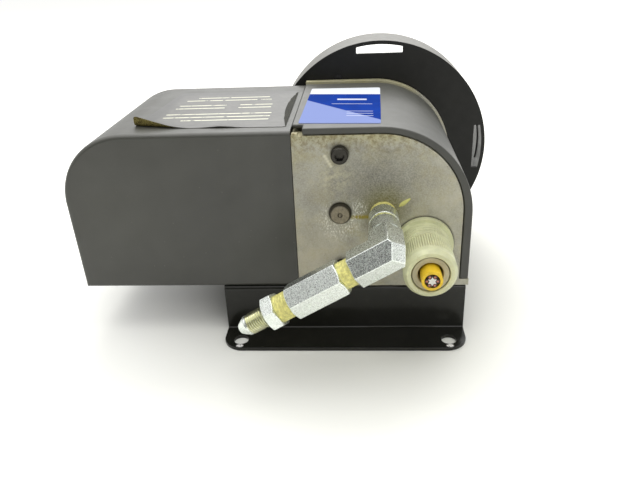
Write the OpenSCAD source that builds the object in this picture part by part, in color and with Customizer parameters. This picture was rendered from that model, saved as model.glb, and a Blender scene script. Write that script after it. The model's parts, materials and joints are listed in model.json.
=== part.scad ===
// Electric lubrication pump, standing on its bracket as on a bench.
// X runs along the bracket, +Y towards the reservoir, +Z up.
// The origin is the middle of the four foot holes, on the underside of the feet.

/* [Bracket] */
// Length of the bracket
bracket_l = 140; // [130:1:170]
// Height of the bracket's top plate
bracket_h = 30.2; // [27:0.1:36]
// Depth over the bracket's two webs
bracket_web_d = 94; // [90:1:100]
// Thickness of the bracket's sheet
sheet_t = 2; // [1.5:0.1:3]
// Inner radius of the bracket's bends
bend_inner_r = 0.8; // [0.6:0.1:2]
// Reach of a foot from its web
foot_reach = 21.6; // [19:0.1:30]
// Corner radius of the feet
foot_corner_r = 12; // [6:0.5:14]
// Diameter of the foot holes
foot_hole_d = 8.5; // [6:0.5:11]
// Foot hole to the end of the bracket
foot_hole_from_end = 10; // [8:0.5:16]
// Foot hole to the web's face
foot_hole_from_web = 13; // [10:0.5:14.5]

/* [Pump housing] */
// Place of the seam between motor cover and housing, from the bracket's middle
seam_x = -25.6; // [-30:0.1:-22]
// Width of the housing's face
housing_w = 91.4; // [88:0.1:98]
// Height of the housing's face
housing_h = 89.4; // [86:0.1:94]
// Depth of the housing
housing_d = 115.5; // [112:0.5:122]
// Radius of the housing's upper corner
housing_corner_r = 44.7; // [30:0.1:48]
// Thickness of the housing's base flange
base_flange_t = 3.9; // [3:0.1:6]
// Reach of the base flange past the housing's side
base_flange_out = 5.5; // [5.3:0.1:9]
// Thickness of the housing's rear flange
rear_flange_t = 5; // [4:0.5:7]
// How far the rear flange stands out past the wrap cover
rear_flange_out = 1.5; // [0.5:0.1:3]
// Width of the locating tab in the upper corner
tab_w = 3.3; // [2.5:0.1:4]
// Height of the locating tab
tab_h = 1.2; // [0.8:0.1:2]
// Face screws from the seam, as a share of the face's width
face_screw_share = 0.277; // [0.25:0.001:0.29]
// Upper face screw above the base
face_screw_high = 79.5; // [74:0.1:81]
// Lower face screw above the base
face_screw_low = 13.3; // [11:0.1:16]
// Length of the face screws' shanks
face_screw_l = 22; // [14:1:24]
// Diameter of the face screws' shanks
face_screw_d = 5.3; // [4:0.1:6]

/* [Wrap cover] */
// How far the wrap cover stands out at the side
cover_side_out = 5.1; // [4.6:0.1:5.2]
// How far the wrap cover stands out on top
cover_top_out = 4; // [3.4:0.1:5]
// Wall of the wrap cover
cover_wall = 2.4; // [1.8:0.1:2.8]
// Depth of the wrap cover's front lip
cover_lip_d = 4; // [3:0.5:8]
// Outer corner radius of the wrap cover
cover_corner_r = 50; // [38:0.5:52]
// Width of the notch that clears the housing's tab
cover_notch_w = 5.8; // [5:0.1:8]
// Depth of that notch
cover_notch_d = 8; // [6:0.5:12]

/* [Motor cover] */
// Length of the motor cover along its foot
motor_cover_l = 126.5; // [124:0.1:135]
// Height of the motor cover
motor_cover_h = 91.9; // [90:0.1:97]
// How far the end wall leans out at the top
motor_cover_lean = 1.4; // [0:0.1:4]
// Radius of the motor cover's upper corner
motor_cover_corner_r = 38.3; // [30:0.1:42]
// Radius of the motor cover's rim edges
motor_cover_edge_r = 2.4; // [1.5:0.1:3]
// Wall of the motor cover
motor_cover_wall = 2.2; // [1.6:0.1:2.5]

/* [Reservoir seat] */
// Radius of the seat's rim
seat_r = 74.25; // [70:0.25:75]
// Depth of the seat
seat_d = 37.2; // [32:0.1:44]
// Wall of the seat
seat_wall = 2.5; // [2:0.1:3.5]
// Thickness of the seat's disc
seat_disc_t = 3; // [2:0.1:5]
// Seat's axis from the seam, as a share of the face's width
seat_share = 0.546; // [0.53:0.001:0.56]
// Seat's axis above the base
seat_above_base = 45.1; // [45:0.1:47]
// Thickness of the gasket behind the seat
gasket_t = 1.6; // [1:0.1:3]
// Width of the slots in the disc
seat_slot_w = 31; // [24:0.5:36]
// Depth of the slots, in from the cup's wall
seat_slot_d = 5.85; // [4:0.05:8]
// Height of the lugs inside the rim
lug_h = 3.6; // [2.5:0.1:5]
// Thickness of the lugs
lug_t = 4; // [3:0.1:6]
// Place of the lugs behind the disc
lug_from_disc = 14; // [12:0.5:20]
// Depth of the recess for the reservoir's neck
seat_recess_d = 14; // [10:0.5:16]
// Step of that recess into the wall
seat_recess_step = 0.6; // [0.3:0.1:1]
// Radius of the circle of seat screws
seat_screw_ring_r = 33; // [30:0.5:35]
// Radius of the suction spigot
spigot_r = 12; // [11:0.5:16]
// Length of the suction spigot in the cup
spigot_l = 8; // [6:0.5:12]
// Radius of the suction port
suction_r = 7; // [5:0.5:8]
// Length of the strainer
strainer_l = 6; // [4:0.5:10]
// Holes round the strainer
strainer_holes = 14; // [10:1:20]

/* [Outlet line] */
// Outlet's axis from the seam, as a share of the face's width
outlet_share = 0.527; // [0.52:0.001:0.54]
// Outlet's axis above the base
outlet_above_base = 45; // [44:0.1:46]
// Angle of the outlet line below the horizontal
line_angle = 30; // [20:0.5:36]
// Radius of the taped pipe threads
pipe_r = 6.85; // [6.5:0.05:7.2]
// Thickness of the thread tape
tape_t = 0.35; // [0.2:0.05:0.6]
// Radius of the bores in the outlet line
line_bore_r = 3.6; // [3:0.1:4]
// Length of a pipe thread inside its port
pipe_thread_l = 9; // [7:0.5:10]
// Tape that shows at the housing
tape_root_l = 5.5; // [3:0.1:8]
// Length of the extension piece
extension_l = 10.5; // [10:0.1:14]
// Radius of the extension piece
extension_r = 8.1; // [7.8:0.1:9]
// Tape that shows between extension and elbow
tape_elbow_l = 3; // [1.5:0.1:4]
// Length of the elbow's round collar
elbow_collar_l = 12.5; // [10.5:0.1:15]
// Radius of the elbow's round collar
elbow_collar_r = 8.4; // [8:0.05:9]
// Collar's end to the bend's centre
elbow_hex_l = 15.7; // [14:0.1:20]
// Size across the elbow's flats
elbow_af = 17; // [16.8:0.1:19.5]
// Bend's centre to the elbow's port
elbow_port_l = 18; // [15:0.1:20]
// Bend's centre to the chamfer on the elbow's outer corner
elbow_chamfer_l = 8.5; // [7.5:0.1:12]
// Tape that shows before the check valve
tape_inlet_l = 6.3; // [4:0.1:8]
// Size across the check valve's flats
valve_af = 16.9; // [16.5:0.1:22]
// Turn of the check valve's hexagon
valve_turn = 12.5; // [0:0.5:60]
// Length of the check valve's body
valve_l = 29.7; // [28.5:0.1:36]
// Tape that shows after the check valve
tape_outlet_l = 7.4; // [4:0.1:8]
// Size across the adapter's flats
adapter_af = 16.8; // [15.5:0.1:19]
// Turn of the adapter's hexagon
adapter_turn = 26.5; // [0:0.5:60]
// Length of the adapter's hexagon
adapter_hex_l = 6.8; // [6:0.1:10]
// Diameter of the flare thread
flare_d = 11.1; // [10.5:0.1:12.5]
// Length of the flare thread
flare_thread_l = 12.2; // [9:0.1:14]
// Length of the flare nose
flare_nose_l = 5.2; // [4.5:0.1:6]
// Diameter of the nose's tip
flare_tip_d = 5.4; // [5:0.1:6]

/* [Check valve] */
// Radius of the check ball
ball_r = 3.4; // [3:0.1:3.6]
// Radius of the valve's seat
valve_seat_r = 2.2; // [1.8:0.1:2.6]
// Radius of the ball's chamber
ball_bore_r = 4.2; // [4:0.05:4.8]
// Length of the ball's chamber
ball_bore_l = 17; // [15:0.5:18]
// Travel of the check ball
ball_travel = 2.5; // [1.5:0.1:3]

/* [Relief valve] */
// Relief valve's axis from the seam, as a share of the face's width
relief_share = 0.272; // [0.25:0.001:0.29]
// Relief valve's axis above the base
relief_above_base = 45.8; // [44:0.1:47]
// Diameter of the hole for the plug
relief_hole_d = 12; // [11.6:0.1:14]
// Diameter of the plug
relief_plug_d = 11.2; // [10.8:0.1:11.5]
// How far the plug stands out of the face
relief_plug_out = 2; // [0.5:0.1:4]
// Length of the plug
relief_plug_l = 9; // [7:0.1:10]
// Diameter of the centre mark in the plug
plug_dimple_d = 2; // [1.5:0.1:3]
// Radius of the poppet
poppet_r = 4; // [3.5:0.1:4.4]
// Length of the poppet
poppet_l = 6; // [5:0.1:7]
// Radius of the relief valve's seat
relief_seat_r = 2.4; // [2:0.1:2.8]
// Length of the relief spring's chamber
relief_bore_l = 17; // [15:0.5:18]
// Travel of the poppet
poppet_travel = 2; // [1:0.1:2.5]

/* [Cable gland] */
// Gland's axis from the seam, as a share of the face's width
gland_share = 0.774; // [0.76:0.001:0.78]
// Gland's axis above the base
gland_above_base = 26.8; // [25:0.1:28]
// Radius of the gland's body
gland_r = 14; // [13:0.1:15]
// Length of the gland's body
gland_body_l = 11.6; // [9:0.1:14]
// Radius of the gland's flange
gland_flange_r = 16; // [14.5:0.1:17]
// Length of the gland's flange
gland_flange_l = 3.5; // [2:0.1:4.5]
// Radius of the gland's thread
gland_thread_r = 11; // [10:0.1:11.5]
// Thickness of the housing's wall at the gland
gland_wall = 6; // [4:0.1:7]
// Radius of the gland's nut
gland_nut_r = 13.1; // [12.5:0.1:15]
// Length of the gland's nut
gland_nut_l = 24.8; // [22:0.1:30]
// Flutes round the nut
gland_flutes = 30; // [24:1:36]
// Radius of the nut's mouth
gland_mouth_r = 9.8; // [9:0.1:10]
// Radius of the cable
cable_r = 5.35; // [5:0.05:5.8]
// Radius of the hole in the clamping ring
clamp_hole_r = 6.4; // [6.2:0.05:7]
// Length of cable outside the nut
cable_out = 6.8; // [4:0.1:10]
// Radius of one core
core_r = 1.25; // [1:0.05:1.35]
// Number of cores
core_count = 6; // [5:1:6]

/* [Gear pump] */
// Module of the pump gears
pump_module = 2; // [1.9:0.05:2.1]
// Teeth of each pump gear
pump_teeth = 13; // [12:1:14]
// Width of the pump gears
pump_gear_w = 14; // [12:0.5:16]
// Radius of the drive shaft
drive_shaft_r = 5; // [4:0.1:5.5]
// Radius of the idler's shaft
idler_shaft_r = 5; // [4:0.1:5.5]
// Outer radius of the shaft bushes
bush_r = 8; // [7:0.1:8.5]
// Length of the shaft bushes
bush_l = 10; // [8:0.1:12]
// Thickness of the plate that closes the gear chamber
pump_plate_t = 7; // [6:0.1:8]

/* [Reduction gear] */
// Module of the reduction gears
reduction_module = 1.25; // [1.2:0.05:1.3]
// Teeth of the motor's pinion
pinion_teeth = 12; // [12:1:13]
// Teeth of the reduction gear
wheel_teeth = 40; // [38:1:41]
// Width of the reduction gear
wheel_w = 8; // [6:0.1:9]
// Thickness of the motor's mounting plate
motor_plate_t = 4; // [3:0.1:5]

/* [Motor] */
// Motor's axis above the base
motor_above_base = 45.8; // [45:0.1:47]
// Room round the motor inside its cover
motor_gap = 3.6; // [3:0.1:6]
// Length of the stator's stack
stator_l = 46; // [40:1:50]
// Slots of the stator
stator_slots = 12; // [10:1:14]
// Rotor's share of the stator's radius
rotor_share = 0.53; // [0.5:0.01:0.56]
// Air gap round the rotor
air_gap = 0.4; // [0.3:0.05:0.6]
// Length of the end windings
winding_l = 9; // [7:0.5:10]
// Thickness of the motor's end bells
bell_t = 6; // [5:0.5:8]
// Radius of the motor's shaft
motor_shaft_r = 4; // [3.5:0.1:4.5]
// Outer radius of the motor's bearings
bearing_r = 11; // [9:0.1:12]
// Width of the motor's bearings
bearing_w = 4; // [3:0.1:4.5]
// Width of the fan
fan_w = 9; // [6:0.5:10]
// Blades of the fan
fan_blades = 9; // [7:1:11]

/* [Electrics] */
// Length of the circuit board
board_l = 74; // [60:1:80]
// Height of the circuit board
board_h = 62; // [50:1:66]
// Thickness of the circuit board
board_t = 1.6; // [1:0.1:2]
// Height of the posts that carry the board
board_post_h = 5; // [4:0.5:7]
// Radius of the motor's capacitor
capacitor_r = 10.5; // [9:0.1:11]
// Length of the motor's capacitor
capacitor_l = 46; // [36:1:56]

/* [Hidden] */
$fn = 64;

// Overrun of every cut
cut = 1;
// Gap between pieces that turn or slide and what lies round them
run_gap = 0.3;
// Radial gap of a shaft in its bearing
shaft_gap = 0.05;
// Gap between covers and what they close on
fit_gap = 0.3;

// Main places
base_z = bracket_h;
front_y = -bracket_web_d / 2;
back_y = front_y + housing_d;
housing_right = seam_x + housing_w;
housing_top = base_z + housing_h;
flange_top = base_z + base_flange_t;
cover_right = housing_right + cover_side_out;
cover_top = housing_top + cover_top_out;
rear_flange_y = back_y - rear_flange_t;
outlet_x = seam_x + housing_w * outlet_share;
outlet_z = base_z + outlet_above_base;
seat_x = seam_x + housing_w * seat_share;
seat_z = base_z + seat_above_base;
seat_y = back_y + gasket_t;
seat_back_y = seat_y + seat_d;
relief_x = seam_x + housing_w * relief_share;
relief_z = base_z + relief_above_base;
gland_x = seam_x + housing_w * gland_share;
gland_z = base_z + gland_above_base;
face_screw_x = seam_x + housing_w * face_screw_share;
face_screw_zs = [base_z + face_screw_low, base_z + face_screw_high];

// Flat profiles are drawn in X-Z or Y-Z and given their depth by these
module along_y(from, to)
  translate([0, to, 0]) rotate([90, 0, 0]) linear_extrude(to - from) children();
module along_x(from, to)
  translate([from, 0, 0]) rotate([90, 0, 90]) linear_extrude(to - from) children();
module rod_y(x, z, from, to, r)
  translate([x, to, z]) rotate([90, 0, 0]) cylinder(h = to - from, r = r);
module rod_x(y, z, from, to, r)
  translate([from, y, z]) rotate([0, 90, 0]) cylinder(h = to - from, r = r);
module rod_z(x, y, from, to, r)
  translate([x, y, from]) cylinder(h = to - from, r = r);
module block(from, to)
  translate(from) cube(to - from);
module hexagon(af)
  rotate(30) circle(d = af / cos(30), $fn = 6);
module ring(outer, inner) {
  difference() {
    circle(r = outer);
    circle(r = inner);
  }
}

// A rectangle whose upper right corner is round
module arched(left, right, bottom, top, r) difference() {
  translate([left, bottom]) square([right - left, top - bottom]);
  difference() {
    translate([right - r, top - r]) square(r + cut);
    translate([right - r, top - r]) circle(r = r);
  }
}

// Tooth outlines, for a pressure angle that leaves small wheels no undercut
pressure_angle = 25;
tooth_backlash = 0.2;
addendum_share = 0.9;
dedendum_share = 1.15;
flank_shares = [0, 0.25, 0.5, 0.75, 1];
deg = 180 / PI;
function involute(a) = tan(a) * deg - a;
function half_tooth(m, n, r) =
  let (pitch_r = m * n / 2, base_r = pitch_r * cos(pressure_angle))
  90 / n - tooth_backlash / 2 / pitch_r * deg + involute(pressure_angle)
    - involute(acos(min(1, base_r / r)));
function tip_r(m, n) = m * n / 2 + addendum_share * m;
function root_r(m, n) = m * n / 2 - dedendum_share * m;
function flank_radii(m, n) =
  let (start = max(root_r(m, n), m * n / 2 * cos(pressure_angle)))
  concat([root_r(m, n)], [for (s = flank_shares) start + s * (tip_r(m, n) - start)]);
function polar(r, a) = [r * cos(a), r * sin(a)];
function backwards(list) = [for (i = [len(list) - 1 : -1 : 0]) list[i]];
module toothed(m, n, phase) {
  radii = flank_radii(m, n);
  polygon([for (i = [0 : n - 1]) let (c = phase + i * 360 / n)
    each concat([for (r = radii) polar(r, c - half_tooth(m, n, r))],
      [for (r = backwards(radii)) polar(r, c + half_tooth(m, n, r))])]);
}

// A coil of round wire along +Z: rings of points swept along a helix
wire_sides = 5;
steps_a_turn = 10;
function coil_ring(r, wire_r, a, z) = [for (j = [0 : wire_sides - 1])
  let (b = 360 * j / wire_sides, out = r + wire_r * cos(b))
    [out * cos(a), out * sin(a), z + wire_r * sin(b)]];
function ring_quads(steps) = [for (i = [0 : steps - 1], j = [0 : wire_sides - 1])
  let (a = i * wire_sides + j, b = i * wire_sides + (j + 1) % wire_sides)
    each [[a, a + wire_sides, b], [b, a + wire_sides, b + wire_sides]]];
module coil(r, wire_r, turns, l) {
  steps = turns * steps_a_turn;
  points = [for (i = [0 : steps])
    each coil_ring(r, wire_r, 360 * i / steps_a_turn, wire_r + (l - 2 * wire_r) * i / steps)];
  last = steps * wire_sides;
  polyhedron(points, concat(ring_quads(steps), [[for (j = [0 : wire_sides - 1]) j]],
    [[for (j = [wire_sides - 1 : -1 : 0]) last + j]]), convexity = turns);
}

// A socket head screw along +Z, its head's top at zero
head_r_share = 0.85;
socket_share = 0.45;
module cap_screw(d, l, head_share = 1) {
  head = d * head_share;
  difference() {
    union() {
      translate([0, 0, -head]) cylinder(h = head, r = d * head_r_share);
      translate([0, 0, -head - l]) cylinder(h = l + head / 2, r = d / 2);
    }
    translate([0, 0, -head * socket_share]) linear_extrude(d) hexagon(d * head_r_share);
  }
}

// Bracket: a hat section with rounded foot corners
bend_outer_r = bend_inner_r + sheet_t;
foot_edge_y = bracket_web_d / 2 + foot_reach;
foot_hole_x = bracket_l / 2 - foot_hole_from_end;
foot_hole_y = bracket_web_d / 2 + foot_hole_from_web;
bracket_screw_d = 5;
bracket_screw_l = 10;
bracket_screw_shares = [0.31, 0.77];
bracket_screw_xs = [for (s = bracket_screw_shares) seam_x + housing_w * s];
bracket_screw_share = 0.3;
bracket_screw_y = bracket_web_d * bracket_screw_share;
module hat_top(half_d, height, r) {
  translate([-half_d, 0]) square([2 * half_d, height - r]);
  translate([-half_d + r, 0]) square([2 * (half_d - r), height]);
  for (side = [-1, 1]) translate([side * (half_d - r), height - r]) circle(r = r);
}
module hat_side() {
  half_d = bracket_web_d / 2;
  difference() {
    union() {
      hat_top(half_d, bracket_h, bend_outer_r);
      for (side = [0, 1]) mirror([side, 0]) {
        translate([half_d - sheet_t, 0]) square([foot_reach + sheet_t, sheet_t]);
        difference() {
          translate([half_d, sheet_t]) square(bend_inner_r);
          translate([half_d + bend_inner_r, sheet_t + bend_inner_r]) circle(r = bend_inner_r);
        }
      }
    }
    translate([0, -cut]) hat_top(half_d - sheet_t, bracket_h - sheet_t + cut, bend_inner_r);
    for (side = [0, 1]) mirror([side, 0]) difference() {
      translate([half_d - sheet_t - cut, -cut]) square(bend_outer_r + cut);
      translate([half_d - sheet_t + bend_outer_r, bend_outer_r]) circle(r = bend_outer_r);
    }
  }
}
module rounded_plan(l, d, r) {
  square([l - 2 * r, d], center = true);
  square([l, d - 2 * r], center = true);
  for (x = [-1, 1], y = [-1, 1]) translate([x * (l / 2 - r), y * (d / 2 - r)]) circle(r = r);
}
module mounting_bracket() color([0.10, 0.10, 0.10]) difference() {
  intersection() {
    along_x(-bracket_l / 2, bracket_l / 2) hat_side();
    linear_extrude(bracket_h) rounded_plan(bracket_l, 2 * foot_edge_y, foot_corner_r);
  }
  for (x = [-1, 1], y = [-1, 1])
    rod_z(x * foot_hole_x, y * foot_hole_y, -cut, sheet_t + cut, foot_hole_d / 2);
  for (x = bracket_screw_xs, y = [-1, 1])
    rod_z(x, y * bracket_screw_y, 0, bracket_h + cut, bracket_screw_d / 2 + fit_gap);
}
module bracket_screws() color([0.55, 0.55, 0.56])
  for (x = bracket_screw_xs, y = [-1, 1]) translate([x, y * bracket_screw_y, 0])
    translate([0, 0, bracket_h - sheet_t - bracket_screw_d]) mirror([0, 0, 1])
      cap_screw(bracket_screw_d, bracket_screw_l);

// Electrics places, behind the motor
motor_cover_back = back_y;
board_y = motor_cover_back - motor_cover_wall - board_post_h - board_t;
capacitor_front_y = board_y - run_gap - 2 * capacitor_r;

// Motor places: it fills the room between the cover's walls and the capacitor
motor_z = base_z + motor_above_base;
motor_room_from = front_y + motor_cover_wall;
motor_y = (motor_room_from + capacitor_front_y) / 2;
motor_room_high = min(motor_above_base, motor_cover_h - motor_above_base) - motor_cover_wall;
stator_r = min((capacitor_front_y - motor_room_from) / 2, motor_room_high) - motor_gap;
rotor_r = stator_r * rotor_share;

// Gear pump places
pump_x = outlet_x;
pump_axis_gap = pump_module * pump_teeth;
drive_z = outlet_z - pump_axis_gap / 2;
idler_z = outlet_z + pump_axis_gap / 2;
reduction_gap = reduction_module * (pinion_teeth + wheel_teeth) / 2;
pump_y = motor_y + sqrt(pow(reduction_gap, 2) - pow(motor_z - drive_z, 2));
pump_tip_r = tip_r(pump_module, pump_teeth);
chamber_r = pump_tip_r + run_gap;
gear_from_x = pump_x - pump_gear_w / 2;
gear_to_x = pump_x + pump_gear_w / 2;
plate_to_x = gear_from_x - run_gap;
plate_from_x = plate_to_x - pump_plate_t;
plate_edge = 6;
bush_from_x = gear_to_x + run_gap;
bush_to_x = bush_from_x + bush_l;

// Gearbox places
mesh_angle = atan2(motor_z - drive_z, motor_y - pump_y);
wheel_tip_r = tip_r(reduction_module, wheel_teeth);
pinion_tip_r = tip_r(reduction_module, pinion_teeth);
motor_plate_x = seam_x + motor_plate_t;
wheel_from_x = motor_plate_x + 2 * run_gap;
wheel_to_x = wheel_from_x + wheel_w;
box_gap = 2;
box_to_x = wheel_to_x + box_gap;
box_top = drive_z + wheel_tip_r + box_gap;
box_bottom = drive_z - wheel_tip_r - box_gap;
box_front = motor_y - pinion_tip_r - box_gap;
box_back = pump_y + wheel_tip_r + box_gap;
box_edge = 3;

// Wiring chamber, open to the side under the wrap cover
locknut_rim = 0.9;
locknut_af = 2 * (gland_thread_r + locknut_rim);
wiring_half = locknut_af / cos(30) / 2 + fit_gap;
wiring_from_x = gland_x - wiring_half;
wiring_from_y = front_y + gland_wall;
wiring_to_y = pump_y - bush_r - box_edge - box_gap;
wiring_from_z = gland_z - wiring_half;
wiring_to_z = gland_z + wiring_half;

module housing_face() arched(seam_x, housing_right, base_z, housing_top, housing_corner_r);
module cover_outline(grow)
  arched(seam_x + fit_gap, cover_right + grow, flange_top, cover_top + grow,
    cover_corner_r + grow);
module gear_chamber(from, to, r)
  for (z = [drive_z, idler_z]) rod_x(pump_y, z, from, to, r);
cover_pad_w = 12;
cover_pad_z = flange_top + cover_pad_w / 2;
cover_screw_d = 4;
cover_screw_l = 9;
cover_pad_shares = [0.22, 0.8];
cover_pad_ys = [for (s = cover_pad_shares) front_y + housing_d * s];
module pump_housing() color([0.62, 0.60, 0.53]) difference() {
  union() {
    along_y(front_y, back_y) housing_face();
    block([seam_x, front_y, base_z], [housing_right + base_flange_out, back_y, flange_top]);
    along_y(rear_flange_y, back_y) intersection() {
      cover_outline(rear_flange_out);
      translate([seam_x + fit_gap, flange_top]) square(housing_w * 2);
    }
    block([seam_x + fit_gap, front_y, housing_top - tab_h],
      [seam_x + fit_gap + tab_w, front_y + tab_w, housing_top + tab_h]);
    for (y = cover_pad_ys) block([housing_right - cut, y - cover_pad_w / 2, flange_top - cut],
      [cover_right - cover_wall - fit_gap, y + cover_pad_w / 2, flange_top + cover_pad_w]);
  }
  // Gearbox, open to the motor
  block([seam_x - cut, box_front, box_bottom], [box_to_x, box_back, box_top]);
  block([seam_x - cut, box_front - box_edge, box_bottom - box_edge],
    [motor_plate_x, box_back + box_edge, box_top + box_edge]);
  // Seat of the pump plate and chamber of the pump gears
  block([box_to_x - cut, pump_y - chamber_r - plate_edge, drive_z - chamber_r - plate_edge],
    [plate_to_x, pump_y + chamber_r + plate_edge, idler_z + chamber_r + plate_edge]);
  gear_chamber(plate_to_x - cut, gear_to_x + run_gap, chamber_r);
  gear_chamber(bush_from_x - cut, bush_to_x, bush_r);
  // Suction from the reservoir and outlet to the front
  rod_y(seat_x, seat_z, pump_y + root_r(pump_module, pump_teeth), back_y + cut, suction_r);
  rod_y(outlet_x, outlet_z, front_y - cut, pump_y - root_r(pump_module, pump_teeth), line_bore_r);
  rod_y(outlet_x, outlet_z, front_y - cut, front_y + pipe_thread_l, pipe_r);
  // Relief valve: plug hole, spring chamber, seat and the passage from the outlet
  rod_y(relief_x, relief_z, front_y - cut, plug_end_y, relief_hole_d / 2);
  rod_y(relief_x, relief_z, plug_end_y - cut, relief_seat_y, poppet_r + shaft_gap);
  rod_y(relief_x, relief_z, relief_seat_y - cut, relief_end_y, relief_seat_r);
  rod_x(relief_end_y - relief_seat_r / 2, relief_z, relief_x, outlet_x, relief_seat_r / 2);
  // Cable entry, wiring chamber and face screws
  rod_y(gland_x, gland_z, front_y - cut, wiring_from_y + cut, gland_thread_r);
  block([wiring_from_x, wiring_from_y, wiring_from_z],
    [housing_right + cut, wiring_to_y, wiring_to_z]);
  for (z = face_screw_zs)
    rod_y(face_screw_x, z, front_y - cut, front_y + face_screw_l + cut, face_screw_d / 2);
  // Screw holes of the bracket, the reservoir seat, the pump plate and the wrap cover
  for (x = bracket_screw_xs, y = [-1, 1]) rod_z(x, y * bracket_screw_y, base_z - cut,
    base_z - sheet_t + bracket_screw_l, bracket_screw_d / 2);
  for (a = seat_screw_angles) translate([seat_x, back_y, seat_z])
    rotate([0, a, 0]) translate([seat_screw_ring_r, 0, 0]) rotate([90, 0, 0])
      translate([0, 0, -cut]) cylinder(h = seat_screw_l + cut, r = seat_screw_d / 2);
  for (p = plate_screw_places)
    rod_x(p[0], p[1], plate_to_x - cut, plate_to_x + plate_screw_l, plate_screw_d / 2);
  for (y = cover_pad_ys)
    rod_x(y, cover_pad_z, cover_right - cover_screw_l, cover_right + cut, cover_screw_d / 2);
}

// Wrap cover: a skin over the top and side with a thick front lip
module wrap_cover() color([0.33, 0.33, 0.31]) difference() {
  along_y(front_y, rear_flange_y - fit_gap) cover_outline(0);
  along_y(front_y - cut, rear_flange_y) arched(seam_x - cut, housing_right + fit_gap,
    base_z, housing_top + fit_gap, housing_corner_r + fit_gap);
  along_y(front_y + cover_lip_d, rear_flange_y) arched(seam_x - cut,
    cover_right - cover_wall, base_z, cover_top - cover_wall, cover_corner_r - cover_wall);
  block([seam_x, front_y - cut, housing_top - cut],
    [seam_x + fit_gap + cover_notch_w, front_y + cover_notch_d, cover_top + cut]);
  for (y = cover_pad_ys)
    rod_x(y, cover_pad_z, housing_right, cover_right + cut, cover_screw_d / 2 + fit_gap);
}
module wrap_cover_screws() color([0.2, 0.2, 0.2])
  for (y = cover_pad_ys) translate([cover_right + cover_screw_d, y, cover_pad_z])
    rotate([0, 90, 0]) cap_screw(cover_screw_d, cover_screw_l - cut);

// Motor cover: one drawn shell with a leaning end wall and soft rims
cover_seam_x = seam_x - fit_gap;
motor_cover_left = cover_seam_x - motor_cover_l;
motor_cover_top = base_z + motor_cover_h;
rim_steps = 4;
corner_x = motor_cover_left - motor_cover_lean + motor_cover_corner_r;
corner_z = motor_cover_top - motor_cover_corner_r;
function lean_at(z) = motor_cover_lean * min(1, (z - base_z) / (corner_z - base_z));
function cover_inside_x(z) = motor_cover_left - lean_at(z) + motor_cover_wall;
corner_steps = 24;
module motor_cover_side(inset, right) {
  r = motor_cover_corner_r - inset;
  polygon(concat(
    [[right, motor_cover_top - inset], [right, base_z + inset],
      [motor_cover_left + inset, base_z + inset]],
    [for (i = [0 : corner_steps]) let (a = 180 - 90 * i / corner_steps)
      [corner_x + r * cos(a), corner_z + r * sin(a)]]));
}
module motor_cover_form(inset, edge, right) {
  front = front_y + inset;
  back = motor_cover_back - inset;
  hull() for (i = [0 : rim_steps]) let (a = 90 * i / rim_steps)
    along_y(front + edge * (1 - sin(a)), back - edge * (1 - sin(a)))
      motor_cover_side(inset + edge * (1 - cos(a)), right);
}
module motor_cover() color([0.32, 0.32, 0.29]) difference() {
  union() {
    difference() {
      motor_cover_form(0, motor_cover_edge_r, cover_seam_x);
      motor_cover_form(motor_cover_wall, motor_cover_edge_r / 2, cover_seam_x + cut);
    }
    for (x = board_post_xs, z = board_post_zs)
      rod_y(x, z, board_y + board_t, motor_cover_back - motor_cover_wall / 2, board_post_r);
  }
  for (y = cover_post_ys)
    rod_x(y, motor_z, motor_cover_left - motor_cover_lean - cut, post_end_x + cut,
      post_screw_d / 2 + fit_gap);
}

// Reservoir seat: an open cup with four slots in its disc and a lug behind each
seat_screw_d = 5;
seat_screw_l = 12;
seat_screw_angles = [45, 135, 225, 315];
cup_r = seat_r - seat_wall;
lug_share = 0.8;
lug_w = seat_slot_w * lug_share;
module at_seat() translate([seat_x, 0, seat_z]) children();
module seat_slot() intersection() {
  circle(r = cup_r);
  translate([-seat_slot_w / 2, cup_r - seat_slot_d]) square([seat_slot_w, seat_r]);
}
module reservoir_seat() color([0.17, 0.17, 0.17]) at_seat() difference() {
  union() {
    along_y(seat_y, seat_back_y) ring(seat_r, cup_r);
    along_y(seat_y, seat_y + seat_disc_t) circle(r = seat_r - seat_wall / 2);
    for (a = [0 : 90 : 270]) along_y(seat_y + lug_from_disc, seat_y + lug_from_disc + lug_t)
      rotate(a) intersection() {
        ring(seat_r - seat_wall / 2, cup_r - lug_h);
        translate([-lug_w / 2, 0]) square([lug_w, seat_r]);
      }
  }
  along_y(seat_back_y - seat_recess_d, seat_back_y + cut) circle(r = cup_r + seat_recess_step);
  for (a = [0 : 90 : 270]) along_y(seat_y - cut, seat_y + seat_disc_t + cut)
    rotate(a) seat_slot();
  along_y(seat_y - cut, seat_y + seat_disc_t + cut) circle(r = spigot_thread_r);
  for (a = seat_screw_angles) rotate([0, a, 0])
    rod_y(seat_screw_ring_r, 0, seat_y - cut, seat_y + seat_disc_t + cut,
      seat_screw_d / 2 + fit_gap);
}
module seat_gasket() color([0.06, 0.06, 0.06]) at_seat() difference() {
  along_y(back_y, seat_y) circle(r = seat_screw_ring_r + 2 * seat_screw_d);
  rod_y(0, 0, back_y - cut, seat_y + cut, spigot_thread_r);
  for (a = seat_screw_angles) rotate([0, a, 0])
    rod_y(seat_screw_ring_r, 0, back_y - cut, seat_y + cut, seat_screw_d / 2 + fit_gap);
}
module seat_screws() color([0.6, 0.6, 0.6]) at_seat()
  for (a = seat_screw_angles) rotate([0, a, 0])
    translate([seat_screw_ring_r, seat_y + seat_disc_t + seat_screw_d, 0]) rotate([-90, 0, 0])
      cap_screw(seat_screw_d, seat_disc_t + gasket_t + seat_screw_l - cut);

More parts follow.
